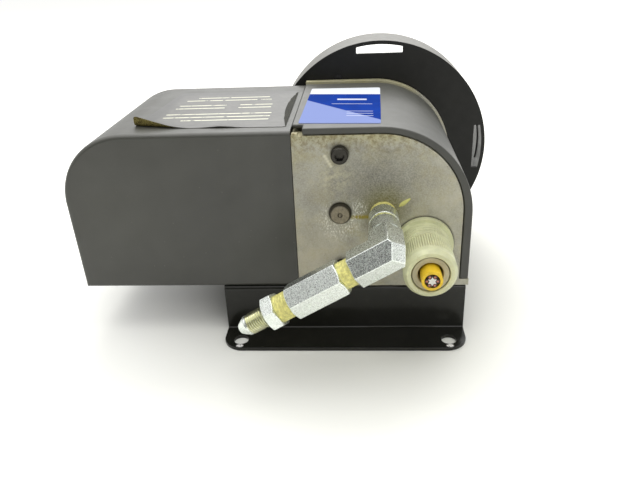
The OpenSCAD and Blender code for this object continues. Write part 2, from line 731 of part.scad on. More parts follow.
// Suction spigot: a flanged tube through disc and gasket, with the strainer pressed in
spigot_shoulder = 1.5;
spigot_thread_r = spigot_r - spigot_shoulder;
spigot_end_y = seat_y + seat_disc_t + spigot_l;
spigot_flange_t = 3;
spigot_wall = 2.5;
strainer_r = spigot_r - spigot_wall;
strainer_wall = 1;
strainer_row_shares = [0.08, 0.28];
strainer_hole_r = 0.9;
module suction_spigot() color([0.75, 0.70, 0.45]) at_seat() difference() {
  union() {
    rod_y(0, 0, back_y, seat_y + seat_disc_t + cut, spigot_thread_r);
    rod_y(0, 0, seat_y + seat_disc_t, seat_y + seat_disc_t + spigot_flange_t,
      spigot_r + spigot_flange_t);
    rod_y(0, 0, seat_y + seat_disc_t, spigot_end_y, spigot_r);
  }
  rod_y(0, 0, back_y - cut, spigot_end_y + cut, suction_r);
  rod_y(0, 0, spigot_end_y - strainer_l / 2, spigot_end_y + cut, strainer_r);
}
module suction_strainer() color([0.72, 0.72, 0.70]) at_seat() difference() {
  rod_y(0, 0, spigot_end_y - strainer_l / 2, spigot_end_y + strainer_l / 2, strainer_r);
  rod_y(0, 0, spigot_end_y - strainer_l / 2 - cut, spigot_end_y + strainer_l / 2
    - strainer_wall, strainer_r - strainer_wall);
  for (i = [0 : strainer_holes - 1], far = [0, 1])
    rotate([0, (i + far / 2) * 360 / strainer_holes, 0])
      rod_x(spigot_end_y + strainer_l * strainer_row_shares[far], 0,
        strainer_r - 2 * strainer_wall, strainer_r + cut, strainer_hole_r);
}

// Outlet line: an extension, a mitred hexagon elbow, the check valve and the flare adapter
extension_y = front_y - tape_root_l;
extension_end_y = extension_y - extension_l;
collar_y = extension_end_y - tape_elbow_l;
hex_y = collar_y - elbow_collar_l;
elbow_y = hex_y - elbow_hex_l;
valve_from = elbow_port_l + tape_inlet_l;
valve_to = valve_from + valve_l;
adapter_from = valve_to + tape_outlet_l;
adapter_to = adapter_from + adapter_hex_l;
thread_to = adapter_to + flare_thread_l;
nose_to = thread_to + flare_nose_l;
port_r = pipe_r;
// The line's own frame: +Z along the flow, +X square to the bend, +Y as the part's
module on_line() translate([outlet_x, elbow_y, outlet_z])
  rotate([0, -90 - line_angle, 0]) children();
// A hexagon bar along +Z whose corners are turned off at both ends
hex_end_share = 0.96;
elbow_end_share = 1.04;
module turned_hex(af, from, to, end_share = hex_end_share) {
  turned_r = af / cos(30) / 2 + cut;
  end_r = af / 2 * end_share;
  drop = (turned_r - end_r) / 2;
  intersection() {
    translate([0, 0, from]) linear_extrude(to - from) hexagon(af);
    rotate_extrude() polygon([[0, from], [end_r, from], [turned_r, from + drop],
      [turned_r, to - drop], [end_r, to], [0, to]]);
  }
}
module outlet_extension() color([0.78, 0.79, 0.76]) difference() {
  union() {
    rod_y(outlet_x, outlet_z, extension_y - cut, front_y + pipe_thread_l, pipe_r);
    rod_y(outlet_x, outlet_z, extension_end_y, extension_y, extension_r);
  }
  rod_y(outlet_x, outlet_z, extension_end_y - cut, front_y + pipe_thread_l + cut, line_bore_r);
  rod_y(outlet_x, outlet_z, extension_end_y - cut, extension_end_y + pipe_thread_l, port_r);
}
module outlet_elbow() color([0.78, 0.79, 0.76]) difference() {
  union() {
    rod_y(outlet_x, outlet_z, collar_y - cut, extension_end_y + pipe_thread_l, pipe_r);
    rod_y(outlet_x, outlet_z, hex_y - cut, collar_y, elbow_collar_r);
    on_line() intersection() {
      union() {
        intersection() {
          translate([0, 0, -elbow_af]) linear_extrude(elbow_af + elbow_port_l)
            hexagon(elbow_af);
          rotate([45, 0, 0]) translate([-elbow_af, -2 * elbow_af, 0])
            cube(4 * elbow_af);
        }
        intersection() {
          translate([0, elbow_hex_l, 0]) rotate([90, 0, 0])
            turned_hex(elbow_af, 0, elbow_af + elbow_hex_l, elbow_end_share);
          rotate([45, 0, 0]) translate([-elbow_af, -2 * elbow_af, -4 * elbow_af])
            cube(4 * elbow_af);
        }
      }
      rotate([-45, 0, 0]) translate([-elbow_af, -2 * elbow_af, -elbow_chamfer_l])
        cube(4 * elbow_af);
    }
  }
  rod_y(outlet_x, outlet_z, elbow_y - line_bore_r, extension_end_y + pipe_thread_l + cut,
    line_bore_r);
  on_line() {
    cylinder(h = elbow_port_l + cut, r = line_bore_r - run_gap);
    translate([0, 0, elbow_port_l - pipe_thread_l])
      cylinder(h = pipe_thread_l + cut, r = port_r);
  }
}
module tape_sleeve(l) difference() {
  cylinder(h = l, r = pipe_r + tape_t);
  translate([0, 0, -cut]) cylinder(h = l + 2 * cut, r = pipe_r);
}
module thread_tape() color([0.87, 0.80, 0.42]) {
  for (span = [[front_y, tape_root_l], [extension_end_y, tape_elbow_l]])
    translate([outlet_x, span[0], outlet_z]) rotate([90, 0, 0]) tape_sleeve(span[1]);
  on_line() {
    translate([0, 0, elbow_port_l]) tape_sleeve(tape_inlet_l);
    translate([0, 0, valve_to]) tape_sleeve(tape_outlet_l);
  }
}
ball_gap = 0.15;
ball_seat = valve_from + (valve_l - pipe_thread_l - ball_bore_l) / 2;
ball_at = ball_seat + sqrt(pow(ball_r, 2) - pow(valve_seat_r, 2)) + ball_gap;
ball_bore_to = valve_to - pipe_thread_l;
module check_valve_body() color([0.78, 0.79, 0.76]) on_line() difference() {
  union() {
    translate([0, 0, elbow_port_l - pipe_thread_l])
      cylinder(h = pipe_thread_l + tape_inlet_l + cut, r = pipe_r);
    rotate(valve_turn) turned_hex(valve_af, valve_from, valve_to);
  }
  translate([0, 0, elbow_port_l - pipe_thread_l - cut])
    cylinder(h = valve_l + 2 * pipe_thread_l, r = valve_seat_r);
  translate([0, 0, ball_seat]) cylinder(h = ball_bore_to - ball_seat + cut, r = ball_bore_r);
  translate([0, 0, ball_bore_to]) cylinder(h = pipe_thread_l + cut, r = port_r);
}
module check_ball() color([0.8, 0.8, 0.82])
  on_line() translate([0, 0, ball_at]) sphere(r = ball_r);
check_wire_r = 0.35;
check_turns = 5;
check_coil_r = ball_bore_r - 3 * check_wire_r;
module check_spring() color([0.6, 0.6, 0.62]) on_line()
  translate([0, 0, ball_at + ball_r]) coil(check_coil_r, check_wire_r, check_turns,
    ball_bore_to - ball_at - ball_r);
module flare_adapter() color([0.78, 0.79, 0.76]) on_line() difference() {
  union() {
    translate([0, 0, ball_bore_to])
      cylinder(h = pipe_thread_l + tape_outlet_l + cut, r = pipe_r);
    rotate(adapter_turn) turned_hex(adapter_af, adapter_from, adapter_to);
    rotate_extrude() polygon([[0, adapter_to - cut], [flare_d / 2, adapter_to - cut],
      [flare_d / 2, thread_to], [flare_d / 2 * hex_end_share, thread_to + cut],
      [flare_tip_d / 2, nose_to], [0, nose_to]]);
  }
  translate([0, 0, ball_bore_to - cut])
    cylinder(h = nose_to - ball_bore_to + 2 * cut, r = nose_bore_r);
}
nose_bore_r = 1.4;

// Relief valve: staked plug, spring and poppet behind the small round plug on the face
plug_end_y = front_y + relief_plug_l;
relief_seat_y = plug_end_y + relief_bore_l;
relief_end_y = relief_seat_y + 2 * relief_seat_r;
poppet_gap = 0.15;
poppet_end_y = relief_seat_y - poppet_gap;
module at_relief() translate([relief_x, 0, relief_z]) children();
module relief_plug() color([0.60, 0.57, 0.48]) at_relief() difference() {
  union() {
    rod_y(0, 0, front_y - relief_plug_out, plug_end_y, relief_plug_d / 2);
    rod_y(0, 0, plug_end_y - relief_plug_l / 2, plug_end_y, relief_hole_d / 2);
  }
  rod_y(0, 0, front_y - relief_plug_out - cut, front_y - relief_plug_out + plug_dimple_d / 2,
    plug_dimple_d / 2);
}
module relief_poppet() color([0.7, 0.7, 0.7]) at_relief() translate([0, poppet_end_y, 0])
  rotate([90, 0, 0]) rotate_extrude() polygon([[0, 0], [relief_seat_r, 0],
    [poppet_r, poppet_r - relief_seat_r], [poppet_r, poppet_l], [0, poppet_l]]);
relief_wire_r = 0.4;
relief_turns = 5;
relief_coil_r = poppet_r - 2.5 * relief_wire_r;
module relief_spring() color([0.6, 0.6, 0.62]) at_relief()
  translate([0, poppet_end_y - poppet_l, 0]) rotate([90, 0, 0])
    coil(relief_coil_r, relief_wire_r, relief_turns, poppet_end_y - poppet_l - plug_end_y);

// Cable gland: body, fluted nut, clamping ring and locknut round a six core cable
gland_groove_d = 0.5;
gland_front_y = front_y - gland_body_l - gland_nut_l;
gland_nut_y = front_y - gland_body_l;
gland_mouth_t = 2;
gland_dome_r = 1;
gland_nut_wall = 2.2;
gland_neck_r = gland_nut_r - gland_nut_wall;
gland_neck_l = gland_nut_l / 2;
flute_r = 0.55;
flute_share = 0.62;
flute_start_share = 0.1;
flute_from_y = gland_nut_y - gland_nut_l * flute_start_share;
flute_to_y = flute_from_y - gland_nut_l * flute_share;
gland_groove_shares = [0.53, 0.78];
locknut_t = 4;
clamp_front_y = gland_front_y + gland_mouth_t / 4;
cable_end_y = gland_front_y - cable_out;
cable_inside_l = 4;
cable_back_y = wiring_from_y + locknut_t + cable_inside_l;
cores_free_l = 8;
terminal_y = cable_back_y + cores_free_l;
core_ring_share = 2.1;
core_ring_r = core_r * core_ring_share;
filler_r = core_ring_r - core_r;
module at_gland() translate([gland_x, 0, gland_z]) children();
module gland_body() color([0.80, 0.80, 0.66]) at_gland() difference() {
  union() {
    rod_y(0, 0, gland_nut_y, front_y, gland_r);
    rod_y(0, 0, front_y - gland_flange_l, front_y, gland_flange_r);
    rod_y(0, 0, gland_nut_y - gland_neck_l, gland_nut_y + cut, gland_neck_r);
    rod_y(0, 0, front_y - cut, wiring_from_y + locknut_t + cut, gland_thread_r);
  }
  for (s = gland_groove_shares) along_y(front_y - gland_body_l * s - gland_groove_d,
    front_y - gland_body_l * s) ring(gland_r + cut, gland_r - gland_groove_d);
  rod_y(0, 0, gland_nut_y - gland_neck_l - cut, wiring_from_y + locknut_t + 2 * cut,
    clamp_hole_r);
}
module gland_nut() color([0.80, 0.80, 0.66]) at_gland() difference() {
  rotate([90, 0, 0]) translate([0, 0, -gland_nut_y]) rotate_extrude() difference() {
    union() {
      square([gland_nut_r, gland_nut_l - gland_dome_r]);
      square([gland_nut_r - gland_dome_r, gland_nut_l]);
      translate([gland_nut_r - gland_dome_r, gland_nut_l - gland_dome_r])
        circle(r = gland_dome_r);
    }
    translate([-gland_nut_r, -cut]) square([gland_nut_r, gland_nut_l + 2 * cut]);
  }
  rod_y(0, 0, gland_front_y - cut, gland_nut_y + cut, gland_mouth_r);
  rod_y(0, 0, gland_nut_y - gland_neck_l, gland_nut_y + cut, gland_neck_r);
  for (i = [0 : gland_flutes - 1]) rotate([0, i * 360 / gland_flutes, 0])
    rod_y(gland_nut_r + flute_r / 3, 0, flute_to_y, flute_from_y, flute_r);
}
module gland_clamp_ring() color([0.76, 0.72, 0.58]) at_gland()
  along_y(clamp_front_y, gland_nut_y - gland_neck_l) ring(gland_mouth_r, clamp_hole_r);
module gland_locknut() color([0.80, 0.80, 0.66]) at_gland()
  along_y(wiring_from_y, wiring_from_y + locknut_t) difference() {
    hexagon(locknut_af);
    circle(r = gland_thread_r);
  }
module cable_core_circles(r)
  for (i = [0 : core_count - 1]) rotate(i * 360 / core_count)
    translate([core_ring_r, 0]) circle(r = r);
module cable_jacket() color([0.93, 0.76, 0.14]) at_gland()
  along_y(cable_end_y, cable_back_y) ring(cable_r, core_ring_r + core_r + shaft_gap);
module cable_cores() color([0.25, 0.12, 0.10]) at_gland()
  along_y(cable_end_y, terminal_y) cable_core_circles(core_r - shaft_gap);
module cable_filler() color([0.92, 0.92, 0.88]) at_gland()
  along_y(cable_end_y, cable_back_y) circle(r = filler_r - shaft_gap);
terminal_w = 18.7;
terminal_d = 12;
terminal_h = gland_z + terminal_w / 3 - wiring_from_z;
terminal_ways = 6;
module terminal_block() color([0.86, 0.86, 0.82]) difference() {
  block([gland_x - terminal_w / 2, terminal_y, wiring_from_z],
    [gland_x + terminal_w / 2, terminal_y + terminal_d, wiring_from_z + terminal_h]);
  for (i = [0 : terminal_ways - 1])
    rod_z(gland_x + (i + 0.5 - terminal_ways / 2) * terminal_w / (terminal_ways + 1),
      terminal_y + terminal_d / 2, wiring_from_z + terminal_h / 2,
      wiring_from_z + terminal_h + cut, terminal_w / (terminal_ways + 1) / 3);
}

// Gear pump
// At rest the drive gear has a tooth, and the idler a space, on the line between the axes
module pump_drive_gear() color([0.62, 0.62, 0.64]) difference() {
  translate([0, pump_y, drive_z]) along_x(gear_from_x, gear_to_x)
    toothed(pump_module, pump_teeth, 90);
  rod_x(pump_y, drive_z, gear_from_x - cut, gear_to_x + cut, drive_shaft_r);
}
module pump_idler_gear() color([0.62, 0.62, 0.64]) difference() {
  translate([0, pump_y, idler_z]) along_x(gear_from_x, gear_to_x)
    toothed(pump_module, pump_teeth, -90 + 180 / pump_teeth);
  rod_x(pump_y, idler_z, gear_from_x - cut, gear_to_x + cut, idler_shaft_r);
}
module drive_shaft() color([0.70, 0.70, 0.72])
  rod_x(pump_y, drive_z, wheel_from_x, bush_to_x - run_gap, drive_shaft_r);
module idler_shaft() color([0.70, 0.70, 0.72])
  rod_x(pump_y, idler_z, plate_from_x + run_gap, bush_to_x - run_gap, idler_shaft_r);
module shaft_bushes() color([0.72, 0.55, 0.32])
  for (z = [drive_z, idler_z], x = [[bush_from_x, bush_to_x], [plate_from_x, plate_to_x]])
    translate([0, pump_y, z]) along_x(x[0], x[1])
      ring(bush_r, (z == drive_z ? drive_shaft_r : idler_shaft_r) + shaft_gap);
plate_screw_d = 4;
plate_screw_l = 8;
plate_screw_places = [for (y = [-1, 1], z = [drive_z - chamber_r, idler_z + chamber_r])
  [pump_y + y * (chamber_r + plate_edge / 2), z]];
module pump_plate() color([0.55, 0.55, 0.54]) difference() {
  block([plate_from_x, pump_y - chamber_r - plate_edge, drive_z - chamber_r - plate_edge],
    [plate_to_x, pump_y + chamber_r + plate_edge, idler_z + chamber_r + plate_edge]);
  for (z = [drive_z, idler_z])
    rod_x(pump_y, z, plate_from_x - cut, plate_to_x + cut, bush_r);
  for (p = plate_screw_places)
    rod_x(p[0], p[1], plate_from_x - cut, plate_to_x + cut, plate_screw_d / 2);
}
module pump_plate_screws() color([0.45, 0.45, 0.46])
  for (p = plate_screw_places) translate([plate_from_x - plate_screw_d / 2, p[0], p[1]])
    rotate([0, -90, 0]) cap_screw(plate_screw_d / 2, pump_plate_t);
seal_t = 1.6;
module shaft_seal() color([0.12, 0.12, 0.12]) translate([0, pump_y, drive_z])
  along_x(plate_from_x - seal_t, plate_from_x) ring(bush_r, drive_shaft_r + shaft_gap);

// Reduction gear: a tooth of the pinion stands in a space of the wheel
web_share = 0.5;
hub_wall = 5;
hub_r = drive_shaft_r + hub_wall;
wheel_rim = 3;
web_out_r = root_r(reduction_module, wheel_teeth) - wheel_rim;
lightening_holes = 5;
lightening_r = 3;
module reduction_gear() color([0.66, 0.60, 0.42]) difference() {
  translate([0, pump_y, drive_z]) along_x(wheel_from_x, wheel_to_x)
    toothed(reduction_module, wheel_teeth, mesh_angle + 180 / wheel_teeth);
  rod_x(pump_y, drive_z, wheel_from_x - cut, wheel_to_x + cut, drive_shaft_r);
  translate([0, pump_y, drive_z]) along_x(wheel_from_x + wheel_w * web_share, wheel_to_x + cut)
    ring(web_out_r, hub_r);
  for (i = [0 : lightening_holes - 1]) translate([0, pump_y, drive_z])
    along_x(wheel_from_x - cut, wheel_to_x) rotate(i * 360 / lightening_holes)
      translate([(web_out_r + hub_r) / 2, 0]) circle(r = lightening_r);
}
module motor_pinion() color([0.60, 0.60, 0.62]) difference() {
  translate([0, motor_y, motor_z]) along_x(wheel_from_x, wheel_to_x)
    toothed(reduction_module, pinion_teeth, mesh_angle + 180);
  rod_x(motor_y, motor_z, wheel_from_x - cut, wheel_to_x + cut, motor_shaft_r);
}

// Motor
bell_from_x = seam_x - bell_t - fit_gap;
stack_to_x = bell_from_x - winding_l - box_gap;
stack_from_x = stack_to_x - stator_l;
rear_bell_x = stack_from_x - winding_l - box_gap;
fan_gap = 2.5;
post_r = 4;
post_rim = 1;
cover_post_out = stator_r - post_r - post_rim;
fan_r = cover_post_out - post_r - box_gap;
shaft_end_x = rear_bell_x - bell_t - fan_gap - fan_w;
tooth_tip_t = 1.6;
stator_yoke = 7;
bell_wall = 5;
winding_gap = 4;
bolt_from_edge = 2.5;
slot_in_r = rotor_r + air_gap + tooth_tip_t;
slot_out_r = stator_r - stator_yoke;
slot_w = 5;
winding_in_r = rotor_r + winding_gap;
winding_out_r = stator_r - bell_wall;
bolt_ring_r = stator_r - bolt_from_edge;
bolt_r = 1.6;
bolt_angles = [45, 135, 225, 315];
module at_motor() translate([0, motor_y, motor_z]) children();
module motor_plate() color([0.56, 0.56, 0.55]) difference() {
  block([seam_x, box_front - box_edge, box_bottom - box_edge],
    [motor_plate_x, box_back + box_edge, box_top + box_edge]);
  rod_x(motor_y, motor_z, seam_x - cut, motor_plate_x + cut, motor_shaft_r + 2 * run_gap);
}
module bolt_holes(from, to, r)
  for (a = bolt_angles) rotate([a, 0, 0]) rod_x(bolt_ring_r, 0, from, to, r);
module motor_bell(from, pocket_from) at_motor() difference() {
  rod_x(0, 0, from, from + bell_t, stator_r);
  rod_x(0, 0, from - cut, from + bell_t + cut, motor_shaft_r + 2 * run_gap);
  rod_x(0, 0, pocket_from, pocket_from + bearing_w, bearing_r);
  bolt_holes(from - cut, from + bell_t + cut, bolt_r);
}
// The front bell's rim reaches the stator's stack, and so does the rear one's
module bell_rim(from, to) at_motor() difference() {
  rod_x(0, 0, from, to, stator_r);
  rod_x(0, 0, from - cut, to + cut, winding_out_r + run_gap);
  bolt_holes(from - cut, to + cut, bolt_r);
}
module motor_front_bell() color([0.58, 0.58, 0.57]) {
  motor_bell(seam_x - fit_gap - bell_t, seam_x - fit_gap - bell_t);
  bell_rim(stack_to_x, bell_from_x);
}
module motor_rear_bell() color([0.58, 0.58, 0.57]) {
  motor_bell(rear_bell_x - bell_t, rear_bell_x - bearing_w);
  bell_rim(rear_bell_x, stack_from_x);
}
module motor_bearings() color([0.75, 0.75, 0.77]) at_motor()
  for (x = [bell_from_x, rear_bell_x - bearing_w])
    along_x(x, x + bearing_w) ring(bearing_r, motor_shaft_r + shaft_gap);
module stator_slot()
  translate([slot_in_r, -slot_w / 2]) square([slot_out_r - slot_in_r, slot_w]);
module stator_core() color([0.48, 0.49, 0.52]) at_motor() difference() {
  along_x(stack_from_x, stack_to_x) difference() {
    ring(stator_r, rotor_r + air_gap);
    for (i = [0 : stator_slots - 1]) rotate((i + 0.5) * 360 / stator_slots) stator_slot();
  }
  bolt_holes(stack_from_x - cut, stack_to_x + cut, bolt_r);
}
module stator_windings() color([0.62, 0.33, 0.14]) at_motor() {
  along_x(stack_from_x, stack_to_x)
    for (i = [0 : stator_slots - 1]) rotate((i + 0.5) * 360 / stator_slots) stator_slot();
  for (x = [[stack_from_x - winding_l, stack_from_x], [stack_to_x, stack_to_x + winding_l]])
    along_x(x[0], x[1]) ring(winding_out_r, winding_in_r);
}
module motor_tie_bolts() color([0.65, 0.65, 0.66]) at_motor()
  for (a = bolt_angles) rotate([a, 0, 0]) {
    rod_x(bolt_ring_r, 0, rear_bell_x - bell_t, seam_x - fit_gap, bolt_r);
    rod_x(bolt_ring_r, 0, rear_bell_x - bell_t - 2 * bolt_r, rear_bell_x - bell_t, 2 * bolt_r);
  }
module motor_shaft() color([0.72, 0.72, 0.74])
  rod_x(motor_y, motor_z, shaft_end_x, wheel_to_x, motor_shaft_r);
rotor_bars = 16;
rotor_bar_r = 1.2;
end_ring_step = 1.5;
end_ring_r = rotor_r - end_ring_step;
module rotor_core() color([0.52, 0.53, 0.56]) at_motor() difference() {
  union() {
    rod_x(0, 0, stack_from_x, stack_to_x, rotor_r);
    rod_x(0, 0, stack_from_x - winding_l / 2, stack_to_x + winding_l / 2, end_ring_r);
  }
  rod_x(0, 0, stack_from_x - winding_l, stack_to_x + winding_l, motor_shaft_r);
  for (i = [0 : rotor_bars - 1]) rotate([i * 360 / rotor_bars, 0, 0])
    rod_x(end_ring_r - rotor_bar_r, 0, stack_from_x - winding_l, stack_to_x + winding_l,
      rotor_bar_r / 2);
}
blade_t = 1.4;
fan_hub_wall = 4;
fan_hub_r = motor_shaft_r + fan_hub_wall;
module motor_fan() color([0.16, 0.16, 0.17]) at_motor() difference() {
  union() {
    rod_x(0, 0, shaft_end_x, shaft_end_x + fan_w, fan_hub_r);
    rod_x(0, 0, shaft_end_x + fan_w - blade_t, shaft_end_x + fan_w, fan_r);
    for (i = [0 : fan_blades - 1]) rotate([i * 360 / fan_blades, 0, 0])
      block([shaft_end_x, fan_hub_r - cut, -blade_t / 2],
        [shaft_end_x + fan_w, fan_r, blade_t / 2]);
  }
  rod_x(0, 0, shaft_end_x - cut, shaft_end_x + fan_w + cut, motor_shaft_r);
}

// Posts on the rear bell that carry the motor cover's end wall
post_screw_d = 4;
post_screw_l = 8;
low_head_share = 0.35;
cover_post_ys = [motor_y - cover_post_out, motor_y + cover_post_out];
post_end_x = cover_inside_x(motor_z - post_r) + fit_gap;
module cover_posts() color([0.7, 0.7, 0.7]) for (y = cover_post_ys) difference() {
  rod_x(y, motor_z, post_end_x, rear_bell_x - bell_t, post_r);
  rod_x(y, motor_z, post_end_x - cut, post_end_x + post_screw_l, post_screw_d / 2);
}
module cover_screws() color([0.2, 0.2, 0.2])
  for (y = cover_post_ys) translate([motor_cover_left - lean_at(motor_z + post_r)
      - post_screw_d * low_head_share, y, motor_z])
    rotate([0, -90, 0]) cap_screw(post_screw_d, post_screw_l, low_head_share);

// Circuit board on the motor cover's rear wall, with the motor's capacitor and a relay
board_from_seam = 3;
board_x = cover_seam_x - board_from_seam - board_l;
board_z = motor_z - board_h / 2;
board_post_r = 2.5;
board_post_xs = [board_x + 2 * board_post_r, board_x + board_l - 2 * board_post_r];
board_post_zs = [board_z + 2 * board_post_r, board_z + board_h - 2 * board_post_r];
relay_w = 20;
relay_d = 12;
relay_h = 16;
module circuit_board() color([0.10, 0.35, 0.18])
  block([board_x, board_y, board_z], [board_x + board_l, board_y + board_t, board_z + board_h]);
capacitor_z = board_z + capacitor_r + 2 * board_post_r;
module motor_capacitor() color([0.75, 0.76, 0.78])
  rod_x(capacitor_front_y + capacitor_r, capacitor_z, board_x + (board_l - capacitor_l) / 2,
    board_x + (board_l + capacitor_l) / 2, capacitor_r);
module board_relay() color([0.12, 0.12, 0.13])
  block([board_x + (board_l - relay_w) / 2, board_y - relay_d, board_z + board_h - 1.5 * relay_h],
    [board_x + (board_l + relay_w) / 2, board_y, board_z + board_h - relay_h / 2]);

module face_screws() color([0.22, 0.22, 0.21])
  for (z = face_screw_zs) translate([face_screw_x, front_y - face_screw_d, z])
    rotate([90, 0, 0]) cap_screw(face_screw_d, face_screw_l);

mounting_bracket();
pump_housing();
wrap_cover();
motor_cover();
reservoir_seat();
seat_gasket();
suction_spigot();
suction_strainer();
outlet_extension();
outlet_elbow();
thread_tape();
check_valve_body();
check_ball();
check_spring();
flare_adapter();
gland_body();
gland_nut();
gland_clamp_ring();
gland_locknut();
cable_jacket();
cable_cores();
cable_filler();
terminal_block();
relief_plug();
relief_spring();
relief_poppet();
pump_drive_gear();
drive_shaft();
pump_idler_gear();
idler_shaft();
pump_plate();
shaft_bushes();
shaft_seal();
reduction_gear();
motor_plate();
motor_pinion();
motor_shaft();
rotor_core();
motor_fan();
stator_core();
stator_windings();
motor_front_bell();
motor_rear_bell();
motor_bearings();
motor_tie_bolts();
circuit_board();
motor_capacitor();
board_relay();
cover_posts();
cover_screws();
face_screws();
bracket_screws();
seat_screws();
pump_plate_screws();
wrap_cover_screws();
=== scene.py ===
"""Looks of an electric lubrication pump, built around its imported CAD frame.

Every object is in metres, in the frame of the CAD: X along the bracket, +Y towards the reservoir
seat, +Z up. Small sizes are given in millimetres and turned into metres by MM.
"""

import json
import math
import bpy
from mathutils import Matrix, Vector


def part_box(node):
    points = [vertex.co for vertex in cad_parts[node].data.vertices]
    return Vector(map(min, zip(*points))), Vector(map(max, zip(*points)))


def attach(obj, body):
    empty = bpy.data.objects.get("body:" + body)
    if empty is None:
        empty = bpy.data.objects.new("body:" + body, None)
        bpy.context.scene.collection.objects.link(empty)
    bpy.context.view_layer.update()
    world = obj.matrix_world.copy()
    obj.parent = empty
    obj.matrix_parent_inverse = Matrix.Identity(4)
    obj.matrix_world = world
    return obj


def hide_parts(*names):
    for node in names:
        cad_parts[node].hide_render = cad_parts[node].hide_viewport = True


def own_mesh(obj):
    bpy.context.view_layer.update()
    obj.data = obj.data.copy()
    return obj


bl_info = {
    "name": "Lubrication Pump",
    "version": (1, 0, 0),
    "blender": (4, 5, 0),
    "location": "View3D > Sidebar > Pump",
    "description": "Builds the pieces, finishes and studio of an electric lubrication pump",
    "category": "Object",
}

import bpy
from bpy.props import FloatProperty, FloatVectorProperty, PointerProperty
from bpy.types import Operator, Panel, PropertyGroup
from mathutils import Matrix, Vector, noise

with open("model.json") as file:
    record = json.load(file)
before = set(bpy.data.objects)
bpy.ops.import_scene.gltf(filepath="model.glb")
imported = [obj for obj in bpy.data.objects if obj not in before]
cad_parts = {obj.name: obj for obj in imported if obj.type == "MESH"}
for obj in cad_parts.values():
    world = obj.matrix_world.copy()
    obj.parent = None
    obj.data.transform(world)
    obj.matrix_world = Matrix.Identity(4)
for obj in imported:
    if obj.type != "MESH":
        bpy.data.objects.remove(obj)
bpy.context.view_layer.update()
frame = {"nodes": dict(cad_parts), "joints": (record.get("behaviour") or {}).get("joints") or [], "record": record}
NODES = frame["nodes"]
MM = 0.001
TURN = 2 * math.pi

# Materials by name, filled by the Finish class
FINISHES = {}


def corners(node):
    """Lowest and highest corner of a CAD node."""
    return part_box(node)


def middle(node):
    """Centre of a CAD node's box."""
    low, high = corners(node)
    return (low + high) / 2


# Places read from the frame
COVER_LOW, COVER_HIGH = corners("motor_cover")
WRAP_HIGH = corners("wrap_cover")[1]
HOUSING_LOW, HOUSING_HIGH = corners("pump_housing")
BRACKET_LOW = corners("mounting_bracket")[0]
SEAT_LOW, SEAT_HIGH = corners("reservoir_seat")
CABLE_LOW, CABLE_HIGH = corners("cable_jacket")
CORES_LOW, CORES_HIGH = corners("cable_cores")
FILLER_LOW, FILLER_HIGH = corners("cable_filler")
GLAND = middle("gland_nut")
SCREW_LOW, SCREW_HIGH = corners("face_screws")
HEAD_R = (SCREW_HIGH.x - SCREW_LOW.x) / 2
PLUG = middle("relief_plug")
OUTLET = middle("outlet_extension")
FACE_Y = HOUSING_LOW.y
SCREW = Vector((middle("face_screws").x, FACE_Y, SCREW_HIGH.z - HEAD_R))
JOINTS = {joint["name"]: joint for joint in frame["joints"]}
SLOTS = {part["node"]: part["material_slot"] for part in frame["record"]["subparts"]}
FLOW = Vector(JOINTS["check_lift"]["axis"]).normalized()
BEND = Vector((OUTLET.x, middle("check_ball").y, OUTLET.z))


class PumpSizes(PropertyGroup):
    """Sizes that the CAD leaves to the looks."""

    edge: FloatProperty(
        name="Edge break", description="Rounding of machined and moulded edges",
        default=0.35 * MM, unit="LENGTH")
    sheet_edge: FloatProperty(
        name="Cover edge", description="Rounding of the wrap cover's edges",
        default=0.8 * MM, unit="LENGTH")
    fine_edge: FloatProperty(
        name="Fine edge", description="Rounding of screws and small turned pieces",
        default=0.15 * MM, unit="LENGTH")
    cover_corner: FloatProperty(
        name="Motor cover corner", description="Radius of the motor cover's upper corner",
        default=38.3 * MM, unit="LENGTH")
    cover_rim: FloatProperty(
        name="Motor cover rim", description="Radius of the motor cover's front and back rims",
        default=2.4 * MM, unit="LENGTH")
    cover_wall: FloatProperty(
        name="Motor cover wall", description="Wall of the motor cover",
        default=2.2 * MM, unit="LENGTH")
    cover_lean: FloatProperty(
        name="Motor cover lean", description="How far its end wall leans out at the top",
        default=1.4 * MM, unit="LENGTH")
    thread_pitch: FloatProperty(
        name="Flare thread pitch", description="Pitch of the flare end's thread",
        default=1.27 * MM, unit="LENGTH")
    thread_depth: FloatProperty(
        name="Flare thread depth", description="Depth of the flare end's thread",
        default=0.62 * MM, unit="LENGTH")
    tape_pitch: FloatProperty(
        name="Pipe thread pitch", description="Pitch of the pipe threads under the tape",
        default=1.41 * MM, unit="LENGTH")
    label_thickness: FloatProperty(
        name="Label thickness", description="Thickness of the flat labels",
        default=0.25 * MM, unit="LENGTH")


